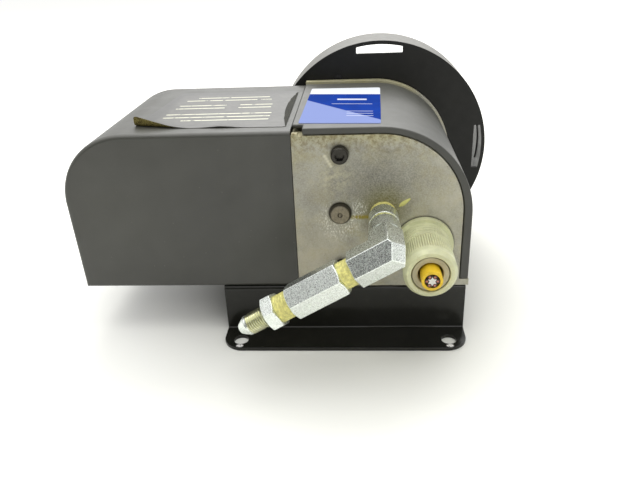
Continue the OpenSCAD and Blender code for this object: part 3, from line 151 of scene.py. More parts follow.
class PumpColours(PropertyGroup):
    """Colours of the finishes, as the surface is lit by plain white light."""

    bracket: FloatVectorProperty(
        name="Bracket", description="Gloss black enamel", subtype="COLOR",
        default=(0.013, 0.013, 0.010))
    casting: FloatVectorProperty(
        name="Casting", description="Sand cast aluminium, oil stained", subtype="COLOR",
        default=(0.37, 0.36, 0.30))
    cover: FloatVectorProperty(
        name="Covers", description="Satin warm grey enamel", subtype="COLOR",
        default=(0.032, 0.032, 0.025))
    seat: FloatVectorProperty(
        name="Reservoir seat", description="Moulded black plastic", subtype="COLOR",
        default=(0.007, 0.007, 0.0055))
    zinc: FloatVectorProperty(
        name="Zinc plate", description="Bright zinc plate on the fittings", subtype="COLOR",
        default=(0.74, 0.78, 0.73))
    tape: FloatVectorProperty(
        name="Thread tape", description="Yellow tape on the pipe threads", subtype="COLOR",
        default=(0.76, 0.71, 0.24))
    nylon: FloatVectorProperty(
        name="Gland", description="Natural nylon of the gland", subtype="COLOR",
        default=(0.66, 0.67, 0.42))
    ring: FloatVectorProperty(
        name="Clamping ring", description="Aged nylon of the clamping ring", subtype="COLOR",
        default=(0.46, 0.42, 0.27))
    cable: FloatVectorProperty(
        name="Cable", description="Yellow jacket of the cable", subtype="COLOR",
        default=(0.82, 0.54, 0.02))
    label: FloatVectorProperty(
        name="Blue label", description="Field of the blue label", subtype="COLOR",
        default=(0.004, 0.040, 0.30))


# Stations on the outlet line, in millimetres from the bend's centre
PORT_END, VALVE_START, VALVE_END, HEX_START = 18.0, 24.3, 54.0, 61.4
HEX_END, THREAD_END, NOSE_END = 68.2, 80.4, 85.6
OUT_OF_FACE = Vector((0, -1, 0))


def on_line(distance):
    """A place on the outlet line, measured in millimetres from the bend's centre."""
    return BEND + FLOW * distance * MM


# Place, direction and length in millimetres of each taped pipe joint
TAPED_JOINTS = (
    (Vector((OUTLET.x, FACE_Y, OUTLET.z)), OUT_OF_FACE, 5.5),
    (Vector((OUTLET.x, FACE_Y - 16 * MM, OUTLET.z)), OUT_OF_FACE, 3.0),
    (on_line(PORT_END), FLOW, VALVE_START - PORT_END),
    (on_line(VALVE_END), FLOW, HEX_START - VALVE_END),
)

# Radii in millimetres: flare thread, taped thread, the nose's tip and the bore
FLARE_R, PIPE_R, NOSE_R, BORE_R = 5.55, 6.85, 2.6, 1.4

# Where the crest of the flare thread starts and ends, in shares of its pitch
CREST_FROM, CREST_TO = 0.42, 0.58

# Tape in millimetres: its least stand over the thread, what a crest adds, depth of its folds
TAPE_LEAST, TAPE_CREST, TAPE_FOLD = 0.12, 0.16, 0.09

# How far the bore is drawn into the flare end, and its collar in from the thread's crest
BORE_DEEP, COLLAR_IN = 8, 0.3

# Cable in millimetres: radius of a core, of the ring they lie on, of the bundle of strands
# in a core and of a strand, and the length of a strand
CORE_R, CORE_RING_R, BUNDLE_R, STRAND_R, STRAND_LONG = 1.25, 2.625, 0.62, 0.2, 3
CORE_COUNT, STRAND_COUNT = 6, 7

# Number and depth in millimetres of the nut's flutes and of the knurls on a screw's head
FLUTES, FLUTE_DEPTH = 66, 0.6
KNURLS, KNURL_DEPTH = 48, 0.2

# Gland nut in millimetres: where its groove and flutes start and end from its back, depth of
# the groove, radius and end of its thread, radius of its mouth
GROOVE_FROM, GROOVE_TO, FLUTE_FROM, FLUTE_TO = 2.2, 3.3, 3.6, 19.5
GROOVE_DEPTH, NUT_THREAD_R, NUT_THREAD_END, NUT_MOUTH_R = 0.45, 10.9, 12.4, 9.85

# Clamping ring in millimetres: radius of its bore, and of its step below the outside
RING_BORE_R, RING_STEP = 6.4, 0.4

# Face screws: shank and half the socket's width in shares of the head's radius, and how
# deep the socket is in millimetres
SHANK_SHARE, SOCKET_SHARE, SOCKET_DEEP = 0.58, 0.53, 2.6

# Seat in millimetres: its wall, where its lugs are from the disc, from the rim and inside
# the wall, and how far a lug stands out of the wall
SEAT_WALL, LUGS_FROM_DISC, LUGS_FROM_RIM = 2.5, 3.2, 15
LUGS_NEAREST, LUGS_FARTHEST, LUG_STAND = 0.1, 6, 0.8

# How far the staked plug stands out past its CAD end, and the nut's flutes past its CAD radius
PLUG_MORE, NUT_MORE = 1.6, 0.7

# Dimple in the plug's end: radius and depth in millimetres
DIMPLE_R, DIMPLE_DEEP = 1.45, 1.2

# Labels: back left, back right, front left and front right corners, in millimetres
BLUE_LABEL = ((-20.1, 47.0, 0), (23.9, 45.7, 0), (-22.1, -37.2, 0), (21.4, -41.0, 0))
DARK_LABEL = ((-107.0, 50.1, 0), (-29.2, 48.8, 0), (-113.6, -35.6, 0), (-29.0, -38.0, 0))
LABEL_CORNER, FILM_CORNER = 1.0, 2.0

# Where the film's front left corner folds up, in which direction, and the radius of its curl
FOLD_AT = Vector((-79, -36.8, 0)) * MM
FOLD_WAY = Vector((-0.27, -0.963, 0)).normalized()
CURL_R, CURL_MOST = 3.0 * MM, 1.3

# Lifted edges in millimetres, the blue label's right one and the film's front one: where the
# lift starts and how far it runs, its middle and half length along the edge, and its height
RIGHT_FROM, RIGHT_RUN, RIGHT_MIDDLE, RIGHT_HALF, RIGHT_HIGH = 17, 6, -12, 26, 0.7
FRONT_FROM, FRONT_RUN, FRONT_MIDDLE, FRONT_HALF, FRONT_HIGH = -30, 7, -64, 12, 0.8

# Loose strip at the film's right edge, in millimetres
FLAP_RIGHT, FLAP_FRONT, FLAP_BACK, FLAP_WIDE = -28.9, -37.5, 44.0, 3.5
FLAP_RAGGED, FLAP_THICK, FLAP_GAP, FLAP_LIFT = 0.5, 0.2, 0.1, 0.7

# Radius of the wrap cover's corner, and places of the small marks
WRAP_CORNER = 50.0 * MM
DAB = Vector((33.8 * MM, FACE_Y, 81.4 * MM))
DAB_LONG, DAB_HIGH, DAB_WIDE, DAB_TILT = 3.6, 0.45, 1.15, math.radians(42)
DISC_SCREW = Vector((-3.7 * MM, SEAT_LOW.y, 124.7 * MM))
DISC_SCREW_R, DISC_SCREW_HIGH, DISC_SOCKET_R = 3.2, 1.4, 1.3

# Studio
CAMERA_PLACE = Vector((9.51, -357.26, 209.39)) * MM
CAMERA_YAW = math.radians(-4.049)
CAMERA_DOWN = math.radians(25.694)
CAMERA_ROLL = math.radians(-2.412)
CAMERA_LENS = 34.74
SENSOR = 36.0
PAPER = (0.81, 0.81, 0.755, 1)

# Glow of the paper near the pump, round it and far off, and the distances in metres that
# the first step and the second lie between
FLOOR_NEAR, FLOOR_FAR, FLOOR_EDGE = 0.03, 0.52, 0.14
SHADOW_FROM, SHADOW_TO, EDGE_FROM, EDGE_TO = 0.08, 0.21, 0.6, 1.6

# Light of the world from the camera's side, and from all round
FRONT_SHADE, WORLD_LIGHT = 0.16, 0.5

# Lamps: name, place, target, size in metres and power in watts
LAMPS = (
    ("lamp_top", (-0.2, -0.1, 1.35), (0, 0, 0), 1.5, 12),
    ("lamp_back", (0.1, 1.15, 1.25), (0, 0, 0.1), 1.5, 16),
    ("lamp_front", (0.5, -1.3, 0.9), (0, 0, 0.06), 1.1, 8),
)


def deselect():
    """Leaves edit mode and selects nothing."""
    if bpy.context.object and bpy.context.object.mode != "OBJECT":
        bpy.ops.object.mode_set(mode="OBJECT")
    bpy.ops.object.select_all(action="DESELECT")


def only(piece):
    """Selects one piece and makes it active."""
    deselect()
    piece.select_set(True)
    bpy.context.view_layer.objects.active = piece


def edit_all(piece):
    """Opens a piece in edit mode with all of its vertices selected."""
    only(piece)
    bpy.ops.object.mode_set(mode="EDIT")
    bpy.ops.mesh.select_mode(type="VERT")
    bpy.ops.mesh.select_all(action="SELECT")


def done():
    """Leaves edit mode."""
    bpy.ops.object.mode_set(mode="OBJECT")


def pick(piece, kind, test):
    """Opens a piece in edit mode with only the edges or faces that pass a test selected."""
    edit_all(piece)
    bpy.ops.mesh.select_mode(type=kind)
    bpy.ops.mesh.select_all(action="DESELECT")
    done()
    for item in piece.data.polygons if kind == "FACE" else piece.data.edges:
        item.select = test(item)
    bpy.ops.object.mode_set(mode="EDIT")


def reshape(piece, move):
    """Moves every vertex of a finished mesh to where a rule says."""
    for vertex in piece.data.vertices:
        vertex.co = move(vertex.co.copy())
    piece.data.update()


def modify(piece, kind, **settings):
    """Adds one modifier and applies it."""
    only(piece)
    modifier = piece.modifiers.new(kind.title(), kind)
    for name, value in settings.items():
        setattr(modifier, name, value)
    bpy.ops.object.modifier_apply(modifier=modifier.name)


def smooth(piece, degrees=40):
    """Shades a piece smooth, apart from edges sharper than an angle."""
    only(piece)
    bpy.ops.object.shade_smooth_by_angle(angle=math.radians(degrees))
    modify(piece, "WEIGHTED_NORMAL", keep_sharp=True)


def set_place(piece):
    """Puts the object's place into its mesh, so that the object sits at the origin."""
    only(piece)
    bpy.ops.object.transform_apply(location=True, rotation=True, scale=True)


def joined(name, pieces):
    """Joins pieces into the first one, under a new name."""
    deselect()
    for piece in pieces:
        piece.select_set(True)
    bpy.context.view_layer.objects.active = pieces[0]
    if len(pieces) > 1:
        bpy.ops.object.join()
    pieces[0].name = name
    return pieces[0]


def new_vertex(name):
    """A mesh of one vertex at the origin, ready to be drawn out in edit mode."""
    deselect()
    bpy.ops.mesh.primitive_plane_add(size=MM, location=(0, 0, 0))
    piece = bpy.context.object
    piece.name = name
    edit_all(piece)
    bpy.ops.mesh.merge(type="CENTER")
    return piece


def draw_line(points):
    """Moves the lone selected vertex to the first point and extrudes it through the others."""
    points = [Vector(point) for point in points]
    bpy.ops.transform.translate(value=points[0])
    for here, there in zip(points, points[1:]):
        bpy.ops.mesh.extrude_region_move(TRANSFORM_OT_translate={"value": there - here})


def turned(name, outline, steps=64, closed=True):
    """A turned piece on +Z from an outline of (radius, height) points in metres."""
    piece = new_vertex(name)
    draw_line([(r, 0, z) for r, z in outline])
    if closed:
        bpy.ops.mesh.select_all(action="SELECT")
        bpy.ops.mesh.remove_doubles(threshold=MM / 1000)
    bpy.ops.mesh.select_all(action="SELECT")
    bpy.ops.mesh.spin(steps=steps, angle=TURN, center=(0, 0, 0), axis=(0, 0, 1))
    bpy.ops.mesh.select_all(action="SELECT")
    bpy.ops.mesh.remove_doubles(threshold=MM / 500)
    bpy.ops.mesh.normals_make_consistent(inside=False)
    done()
    return piece


def turned_mm(name, outline, steps, closed=True):
    """A turned piece from an outline in millimetres."""
    return turned(name, [(r * MM, z * MM) for r, z in outline], steps, closed)


def extruded(name, outline, along):
    """A bar from a flat outline of points, drawn out by the vector along."""
    piece = new_vertex(name)
    draw_line(outline)
    bpy.ops.mesh.select_all(action="SELECT")
    bpy.ops.mesh.edge_face_add()
    bpy.ops.mesh.extrude_region_move(TRANSFORM_OT_translate={"value": along})
    bpy.ops.mesh.select_all(action="SELECT")
    bpy.ops.mesh.normals_make_consistent(inside=False)
    done()
    return piece


def stand_on(piece, place, axis):
    """Turns a piece made on +Z to an axis and moves its origin to a place."""
    turn = Vector((0, 0, 1)).rotation_difference(Vector(axis))
    piece.matrix_world = Matrix.Translation(place) @ turn.to_matrix().to_4x4()
    set_place(piece)


def cad_copy(node, name, dissolve=True):
    """A merged copy of a CAD node's mesh, whose flat faces are whole again."""
    mesh = NODES[node].data.copy()
    mesh.materials.clear()
    piece = bpy.data.objects.new(name, mesh)
    bpy.context.scene.collection.objects.link(piece)
    only(piece)
    bpy.ops.mesh.customdata_custom_splitnormals_clear()
    edit_all(piece)
    bpy.ops.mesh.remove_doubles(threshold=MM / 500)
    if dissolve:
        bpy.ops.mesh.dissolve_limited(angle_limit=math.radians(0.4))
    done()
    return piece


def round_edges(piece, width, degrees=40, **more):
    """Breaks every edge that is sharper than an angle."""
    modify(piece, "BEVEL", width=width, segments=3, limit_method="ANGLE",
           angle_limit=math.radians(degrees), use_clamp_overlap=False, **more)
    smooth(piece, degrees)


def painted(piece, *materials):
    """Gives a piece its materials and returns it."""
    piece.data.materials.clear()
    for material in materials:
        piece.data.materials.append(FINISHES[material])
    return piece


def recolour(piece, *materials):
    """Gives a piece its materials and keeps which face has which."""
    marks = [face.material_index for face in piece.data.polygons]
    painted(piece, *materials)
    for face, mark in zip(piece.data.polygons, marks):
        face.material_index = mark


def finish_piece(piece, body, materials=(), replaced=()):
    """Gives a piece its materials, unless it has them, and its body, and hides the nodes it replaces."""
    if materials:
        painted(piece, *materials)
    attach(piece, body)
    if replaced:
        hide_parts(*replaced)
    return piece


def softened(node, name, slot, width, material=None):
    """A CAD node with its edges broken, in the finish of its slot."""
    piece = cad_copy(node, name)
    round_edges(piece, width)
    return finish_piece(piece, "base", [material or slot], [node])


def around(turns):
    """Direction round the cable's axis after a number of turns."""
    return Vector((math.cos(TURN * turns), 0, math.sin(TURN * turns)))


def feed(tree, socket, value):
    """Links the output of another node to a socket, or sets the socket's value."""
    if isinstance(value, bpy.types.NodeSocket):
        tree.links.new(value, socket)
    else:
        socket.default_value = value


def node(tree, kind, inputs, **settings):
    """A node whose inputs are values or the outputs of other nodes."""
    made = tree.nodes.new(kind)
    for name, value in settings.items():
        setattr(made, name, value)
    for key, value in inputs.items():
        feed(tree, made.inputs[key], value)
    return made


def shade(colour, share):
    """A colour made darker or lighter."""
    return [min(1, c * share) for c in colour]


class Finish:
    """One material, drawn node by node; every pattern reads Object coordinates."""

    def __init__(self, name, colour, roughness, metallic=0.0, **sockets):
        self.material = bpy.data.materials.new(name)
        self.material.use_nodes = True
        self.tree = self.material.node_tree
        self.shader = self.tree.nodes["Principled BSDF"]
        self.place = self.tree.nodes.new("ShaderNodeTexCoord").outputs["Object"]
        self.set("Base Color", (*colour, 1))
        self.set("Roughness", roughness)
        self.set("Metallic", metallic)
        for socket, value in sockets.items():
            self.set(socket.replace("_", " "), value)
        FINISHES[name] = self.material

    def set(self, name, value):
        """Gives an input of the shader a value or another node's output."""
        feed(self.tree, self.shader.inputs[name], value)

    def add(self, kind, inputs, **settings):
        return node(self.tree, kind, inputs, **settings)

    def spot(self, centre=(0, 0, 0), stretch=(1, 1, 1)):
        """Object coordinates moved to a centre and stretched, in millimetres."""
        shift = self.add("ShaderNodeVectorMath", {0: self.place, 1: centre},
                         operation="SUBTRACT").outputs[0]
        scale = [1 / (MM * s) for s in stretch]
        return self.add("ShaderNodeVectorMath", {0: shift, 1: scale},
                        operation="MULTIPLY").outputs[0]

    def grain(self, size, detail=3.0, rough=0.55, stretch=(1, 1, 1), seed=0.0):
        """Cloudy noise whose features are about size millimetres."""
        where = self.spot((seed, seed, seed), stretch)
        return self.add("ShaderNodeTexNoise", {
            "Vector": where, "Scale": 1 / size, "Detail": detail, "Roughness": rough},
            noise_dimensions="3D").outputs["Fac"]

    def cells(self, size, output="Distance"):
        """Random cells that are about size millimetres wide."""
        return self.add("ShaderNodeTexVoronoi", {
            "Vector": self.spot(), "Scale": 1 / size}).outputs[output]

    def levels(self, value, low, high, to_low=0.0, to_high=1.0):
        """A value spread from one range to another, and held at its ends."""
        return self.add("ShaderNodeMapRange", {
            "Value": value, "From Min": low, "From Max": high,
            "To Min": to_low, "To Max": to_high}, clamp=True).outputs["Result"]

    def mix(self, share, first, second):
        """From the first colour to the second; a Mix node's colours are its inputs 6 and 7."""
        made = self.add("ShaderNodeMix", {0: share}, data_type="RGBA")
        for key, colour in ((6, first), (7, second)):
            if not isinstance(colour, bpy.types.NodeSocket):
                colour = (*colour, 1)
            feed(self.tree, made.inputs[key], colour)
        return made.outputs[2]

    def sums(self, operation, first, second=0.0):
        """One step of arithmetic."""
        return self.add("ShaderNodeMath", {0: first, 1: second}, operation=operation).outputs[0]

    def times(self, first, second):
        return self.sums("MULTIPLY", first, second)

    def over(self, below, share, strength, colour):
        """A colour laid over the one below, where share is 1 and as strong as strength."""
        return self.mix(self.times(share, strength), below, colour)

    def clouded(self, colour, pattern, low, high, dark, light):
        """A colour that a pattern takes from a darker to a lighter share of itself."""
        return self.mix(self.levels(pattern, low, high), shade(colour, dark),
                        shade(colour, light))

    def axis(self, letter, centre=0.0):
        """One coordinate in millimetres from a centre in metres."""
        parts = self.add("ShaderNodeSeparateXYZ", {0: self.place}).outputs[letter]
        moved = self.sums("SUBTRACT", parts, centre)
        return self.sums("DIVIDE", moved, MM)

    def facing(self, letter):
        """How far the surface faces along an axis, from -1 to 1."""
        normal = self.add("ShaderNodeNewGeometry", {}).outputs["True Normal"]
        return self.add("ShaderNodeSeparateXYZ", {0: normal}).outputs[letter]

    def near(self, centre, radius, soft, stretch=(1, 1, 1)):
        """1 within radius millimetres of a place, falling to 0 over soft."""
        far = self.add("ShaderNodeVectorMath", {0: self.spot(centre, stretch)},
                       operation="LENGTH").outputs["Value"]
        return self.levels(far, radius, radius + soft, 1.0, 0.0)

    def bump(self, height, depth, strength=1.0, below=None):
        """A relief whose depth is in millimetres, on top of the one below."""
        inputs = {"Height": height, "Distance": depth * MM, "Strength": strength}
        if below is not None:
            inputs["Normal"] = below
        return self.add("ShaderNodeBump", inputs).outputs["Normal"]


def cover_enamel(colours):
    """Satin enamel with a faint orange peel, clouded, with a painted highlight on the front, painted sheen on
    upward faces and a few specks.
    """
    f = Finish("cover_grey", colours.cover, 0.3, Specular_IOR_Level=0.7)
    tone = f.clouded(colours.cover, f.grain(30, 5, 0.55), 0.35, 0.7, 0.84, 1.20)
    # Lighter soft patch on the front of the motor cover: a painted highlight
    front_highlight = f.near((COVER_LOW.x + 32 * MM, FACE_Y, 78 * MM), 10, 45)
    tone = f.over(tone, front_highlight, 0.5, shade(colours.cover, 1.6))
    # Upward faces made lighter by how far they face up: painted sheen from the light above
    dust_and_sheen = f.levels(f.facing("Z"), 0.15, 0.85, 0.0, 0.55)
    tone = f.mix(dust_and_sheen, tone, (0.125, 0.125, 0.108))
    specks = f.levels(f.cells(6.0), 0.05, 0.035)
    f.set("Base Color", f.over(tone, specks, 0.4, (0.16, 0.155, 0.13)))
    f.set("Roughness", f.levels(f.grain(14, 4), 0.3, 0.7, 0.40, 0.50))
    peel = f.bump(f.grain(1.1, 2), 0.03, 0.5)
    f.set("Normal", f.bump(f.grain(26, 2), 0.35, 0.35, peel))


def bracket_enamel(colours):
    """Gloss black enamel, chipped in front of the foot holes."""
    f = Finish("bracket_black", colours.bracket, 0.16, Specular_IOR_Level=0.35)
    dust_and_sheen = f.levels(f.grain(9, 6, 0.7), 0.5, 0.8)
    tone = f.over(colours.bracket, dust_and_sheen, 0.12, (0.06, 0.058, 0.05))
    for side in (-1, 1):
        chip = f.near((side * 60 * MM, BRACKET_LOW.y + 2.4 * MM, 0), 1.2, 0.5, (1.4, 1, 6))
        ragged = f.levels(f.grain(0.9, 3), 0.36, 0.44)
        tone = f.over(tone, chip, ragged, (0.95, 0.93, 0.90))
    f.set("Base Color", tone)
    f.set("Roughness", f.levels(f.grain(9, 4), 0.35, 0.7, 0.14, 0.24))
    f.set("Normal", f.bump(f.grain(22, 2), 0.2, 0.25))


def worn_enamel(colours):
    """The bracket's edges, where the enamel is rubbed through to the steel in spots."""
    f = Finish("bracket_edge", colours.bracket, 0.3)
    spots = f.levels(f.grain(2.2, 5, 0.65), 0.56, 0.62)
    f.set("Base Color", f.mix(spots, (0.03, 0.03, 0.03), (0.45, 0.44, 0.41)))
    f.set("Metallic", f.levels(spots, 0, 1, 0.0, 0.7))


def cast_metal(colours):
    """Cast aluminium, stained by oil, with pits, scratches and staking marks, and painted shade round the parts
    set in its face.
    """
    base = colours.casting
    f = Finish("cast_aluminium", base, 0.55, 0.4)

    def spot(x, z, radius, soft, stretch=(1, 1, 1)):
        """A soft spot on the face; x, z and its size in millimetres."""
        return f.near((x * MM, FACE_Y, z * MM), radius, soft, stretch)

    tone = f.clouded(base, f.grain(15, 6, 0.65), 0.36, 0.64, 0.76, 1.2)
    warm = f.levels(f.grain(9, 6, 0.65, seed=0.31), 0.44, 0.68)
    tone = f.over(tone, warm, 0.65, (0.42, 0.38, 0.22))
    tone = f.over(tone, spot(-16, 50, 8, 24), 0.45, (0.50, 0.45, 0.33))
    tone = f.over(tone, spot(56, 84, 6, 22), 0.35, (0.48, 0.45, 0.34))
    tone = f.over(tone, spot(-12, 88, 5, 14), 0.3, (0.25, 0.235, 0.215))
    # Greasy grey cloud above the outlet, olive where the oil creeps out
    tone = f.over(tone, spot(22, 94, 3, 25, (1.35, 1, 0.85)), 0.8, (0.135, 0.130, 0.110))
    tone = f.over(tone, spot(OUTLET.x / MM, OUTLET.z / MM + 3, 8, 9), 0.75, (0.15, 0.14, 0.04))
    crystals = f.levels(f.grain(0.8, 4, 0.7), 0.38, 0.68)
    tone = f.over(tone, crystals, 0.45, shade(base, 1.5))
    # Oily band with brown stains under the cover
    height = f.axis("Z", HOUSING_HIGH.z)
    tone = f.over(tone, f.levels(height, -12, -5), 0.45, (0.46, 0.42, 0.18))
    front = f.levels(f.axis("Y", FACE_Y), 14, 6)
    stains = f.times(front, f.levels(f.grain(2.6, 5, 0.7), 0.46, 0.60))
    stains = f.times(stains, f.levels(height, -20, -4))
    tone = f.over(tone, stains, 0.8, (0.15, 0.11, 0.03))
    patch = f.times(spot(-4, 96, 4, 9), f.levels(f.grain(2.2, 5, 0.7), 0.42, 0.60))
    tone = f.over(tone, patch, 0.5, (0.60, 0.56, 0.38))
    pits = f.levels(f.cells(1.7), 0.16, 0.06)
    tone = f.over(tone, pits, 0.45, (0.10, 0.09, 0.06))
    # Smear of sealant between plug and outlet
    smear = f.near(((PLUG.x + OUTLET.x) / 2, FACE_Y, PLUG.z - 2.6 * MM), 0.8, 1.5, (4.4, 1, 0.75))
    smear = f.times(smear, f.levels(f.grain(1.6, 4), 0.26, 0.44))
    tone = f.over(tone, smear, 0.9, (0.30, 0.24, 0.02))
    # Fine light strokes thrown up round the staked plug, and a scratch by the upper screw
    plug_x, plug_z = PLUG.x / MM, PLUG.z / MM
    below, beside = spot(plug_x - 1, plug_z - 5, 7, 7), spot(plug_x + 10, plug_z + 3, 3, 3)
    ring = f.sums("MAXIMUM", below, beside)
    clear = f.sums("SUBTRACT", 1.0, spot(plug_x, plug_z, 6.2, 1.2))
    strokes = f.levels(f.grain(0.75, 3, 0.6, (0.7, 1, 1.7), seed=0.12), 0.53, 0.62)
    strokes = f.times(f.times(ring, clear), strokes)
    tone = f.over(tone, strokes, 0.8, (0.85, 0.84, 0.74))
    for i in range(5):
        mark = spot(-8.2 + 0.8 * i, 108.4 - 1.4 * i, 0.3, 0.9)
        tone = f.over(tone, mark, 0.6, (0.80, 0.78, 0.62))
    # Dark rings round the screw heads, the plug and under the gland's flange: grime, and painted shade in the gaps
    # between these parts and the face
    for x, z, radius in ((SCREW.x / MM, SCREW.z / MM, 4.4), (GLAND.x / MM, GLAND.z / MM, 16.1),
                         (plug_x, plug_z, 5.7)):
        tone = f.over(tone, spot(x, z, radius, 1.2), 0.85, (0.03, 0.028, 0.015))
    f.set("Base Color", tone)
    f.set("Roughness", f.levels(f.grain(4, 5), 0.3, 0.7, 0.46, 0.66))
    sand = f.bump(f.grain(0.7, 4, 0.7), 0.10, 0.7)
    waves = f.bump(f.grain(6, 3), 0.25, 0.5, sand)
    f.set("Normal", f.bump(f.sums("SUBTRACT", 1.0, pits), 0.15, 0.6, waves))


def zinc_plate(colours):
    """Bright zinc plate with a fine sparkling grain and milky spots."""
    f = Finish("zinc_steel", colours.zinc, 0.3, 1.0)
    spangle = f.cells(0.29, output="Color")
    grey = f.add("ShaderNodeRGBToBW", {"Color": spangle}).outputs[0]
    grain = f.levels(grey, 0.2, 0.8)
    tone = f.mix(grain, shade(colours.zinc, 0.72), shade(colours.zinc, 1.3))
    milky = f.levels(f.grain(5, 5, 0.6), 0.45, 0.68)
    f.set("Base Color", f.over(tone, milky, 0.3, (0.72, 0.80, 0.70)))
    f.set("Roughness", f.levels(grain, 0, 1, 0.22, 0.40))
    f.set("Normal", f.bump(f.grain(0.5, 3, 0.7), 0.04, 0.5))


def moulded(name, colour, roughness, grain_size=1.0, depth=0.03, **sockets):
    """Moulded plastic or rubber with a fine texture and handling marks."""
    f = Finish(name, colour, roughness, **sockets)
    f.set("Base Color", f.clouded(colour, f.grain(8, 4), 0.35, 0.7, 0.86, 1.12))
    rougher = min(1, roughness * 1.2)
    f.set("Roughness", f.levels(f.grain(5, 4), 0.3, 0.7, roughness * 0.85, rougher))
    f.set("Normal", f.bump(f.grain(grain_size, 3), depth, 0.6))
    return f


def seat_plastic(colours):
    """Black plastic of the reservoir seat, with painted sheen on the outside of its rim."""
    f = moulded("seat_black", colours.seat, 0.42, 1.4, Specular_IOR_Level=0.3)
    black = f.clouded(colours.seat, f.grain(8, 4), 0.35, 0.7, 0.8, 1.2)
    seat = (SEAT_LOW + SEAT_HIGH) / 2
    radius = (SEAT_HIGH.x - SEAT_LOW.x) / MM / 2
    # The outside of the rim, apart from its flat faces, is painted lighter: painted sheen from the lamps above
    inside = f.near(seat, radius - 1.6, 1.0, (1, 1000, 1))
    flat = f.levels(f.sums("ABSOLUTE", f.facing("Y")), 0.3, 0.6)
    no_sheen = f.sums("MAXIMUM", inside, flat)
    f.set("Base Color", f.mix(no_sheen, (0.215, 0.210, 0.188), black))


def natural_nylon(colours):
    """Yellowed nylon: a little light passes, and the flutes are darker in their grooves."""
    f = Finish("gland_nylon", colours.nylon, 0.38, Subsurface_Weight=0.12,
               Subsurface_Radius=(2.0 * MM, 1.7 * MM, 1.0 * MM), Subsurface_Scale=1.0)
    tone = f.clouded(colours.nylon, f.grain(6, 4), 0.35, 0.7, 0.88, 1.08)
    grime = f.levels(f.grain(2.0, 5, 0.7), 0.56, 0.75)
    tone = f.over(tone, grime, 0.4, (0.38, 0.33, 0.17))
    turn = f.sums("ARCTAN2", f.axis("Z", GLAND.z), f.axis("X", GLAND.x))
    # The grooves of the flutes are darker
    groove = f.levels(f.sums("COSINE", f.times(turn, FLUTES)), 0.1, -0.9)
    along = f.axis("Y", corners("gland_nut")[1].y)
    fluted = f.times(f.levels(along, -4.0, -5.0), f.levels(along, -19.5, -17.5))
    f.set("Base Color", f.over(tone, f.times(groove, fluted), 0.45, (0.30, 0.28, 0.14)))
    f.set("Normal", f.bump(f.grain(0.9, 3), 0.03, 0.5))


def machined(name, colour, roughness, metallic=1.0, size=0.25, stretch=(1, 1, 1)):
    """Ground, turned or drawn metal with fine tool marks."""
    f = Finish(name, colour, roughness, metallic)
    lines = f.grain(size, 3, 0.6, stretch)
    f.set("Base Color", f.clouded(colour, lines, 0.3, 0.7, 0.8, 1.15))
    f.set("Roughness", f.levels(f.grain(3, 4), 0.3, 0.7, roughness * 0.8, roughness * 1.25))
    f.set("Normal", f.bump(lines, 0.02, 0.5))


def staked_metal():
    """The plug's worn face, with its side darker than its end."""
    f = Finish("plug_metal", (0.25, 0.22, 0.15), 0.5, 0.5)
    wear = f.levels(f.grain(1.4, 5, 0.7), 0.35, 0.68)
    worn = f.mix(wear, (0.19, 0.165, 0.11), (0.33, 0.29, 0.21))
    # The side is darker than the end face
    side = f.levels(f.facing("Y"), -0.9, -0.5)
    f.set("Base Color", f.mix(side, worn, (0.035, 0.030, 0.018)))
    f.set("Normal", f.bump(f.grain(0.7, 3), 0.05, 0.6))


def seal_tape(colours):
    """Yellow thread tape, thin enough to show the thread's crests."""
    f = Finish("thread_tape", colours.tape, 0.5)
    folds = f.grain(1.6, 4, 0.65)
    f.set("Base Color", f.clouded(colours.tape, folds, 0.35, 0.68, 0.72, 1.25))
    f.set("Normal", f.bump(f.grain(0.8, 4, 0.7), 0.12, 0.8))


def bar(f, across, low, high, along, start, end):
    """1 inside a printed bar: between two values across, and two along, in millimetres."""
    share = 1.0
    soft = 0.4
    for value, edge, run in ((across, low, soft), (across, high, -soft),
                             (along, start, soft), (along, end, -soft)):
        share = f.times(share, f.levels(value, edge, edge + run))
    return share


def blue_label(colours):
    """Blue printed label: a white band at the back, a two-tone field and plain white bars."""
    f = Finish("label_blue", colours.label, 0.7, Specular_IOR_Level=0.02)
    right, back = f.axis("X"), f.axis("Y")
    blue = f.clouded(colours.label, f.grain(20, 3), 0.4, 0.6, 0.9, 1.1)
    # The left front part is paler, parted by a slanting line
    slope = f.sums("ADD", back, f.times(right, 1.15))
    tone = f.mix(f.levels(slope, -9.0, -9.6), blue, (0.25, 0.31, 0.60))
    tilted = f.sums("ADD", back, f.times(right, 0.117))
    for low, high, start, end in ((13, 17, -3, 15), (3, 4.2, -6, 18), (-14, -12.8, 3, 18),
                                  (-19, -17.8, 3, 18), (-24, -22.8, 3, 18)):
        printed = bar(f, tilted, low, high, right, start, end)
        tone = f.over(tone, printed, 0.8, (0.75, 0.78, 0.86))
    band = f.levels(tilted, 28.8, 29.0)
    f.set("Base Color", f.mix(band, tone, (0.76, 0.79, 0.84)))
    f.set("Normal", f.bump(f.grain(7, 3), 0.05, 0.5))


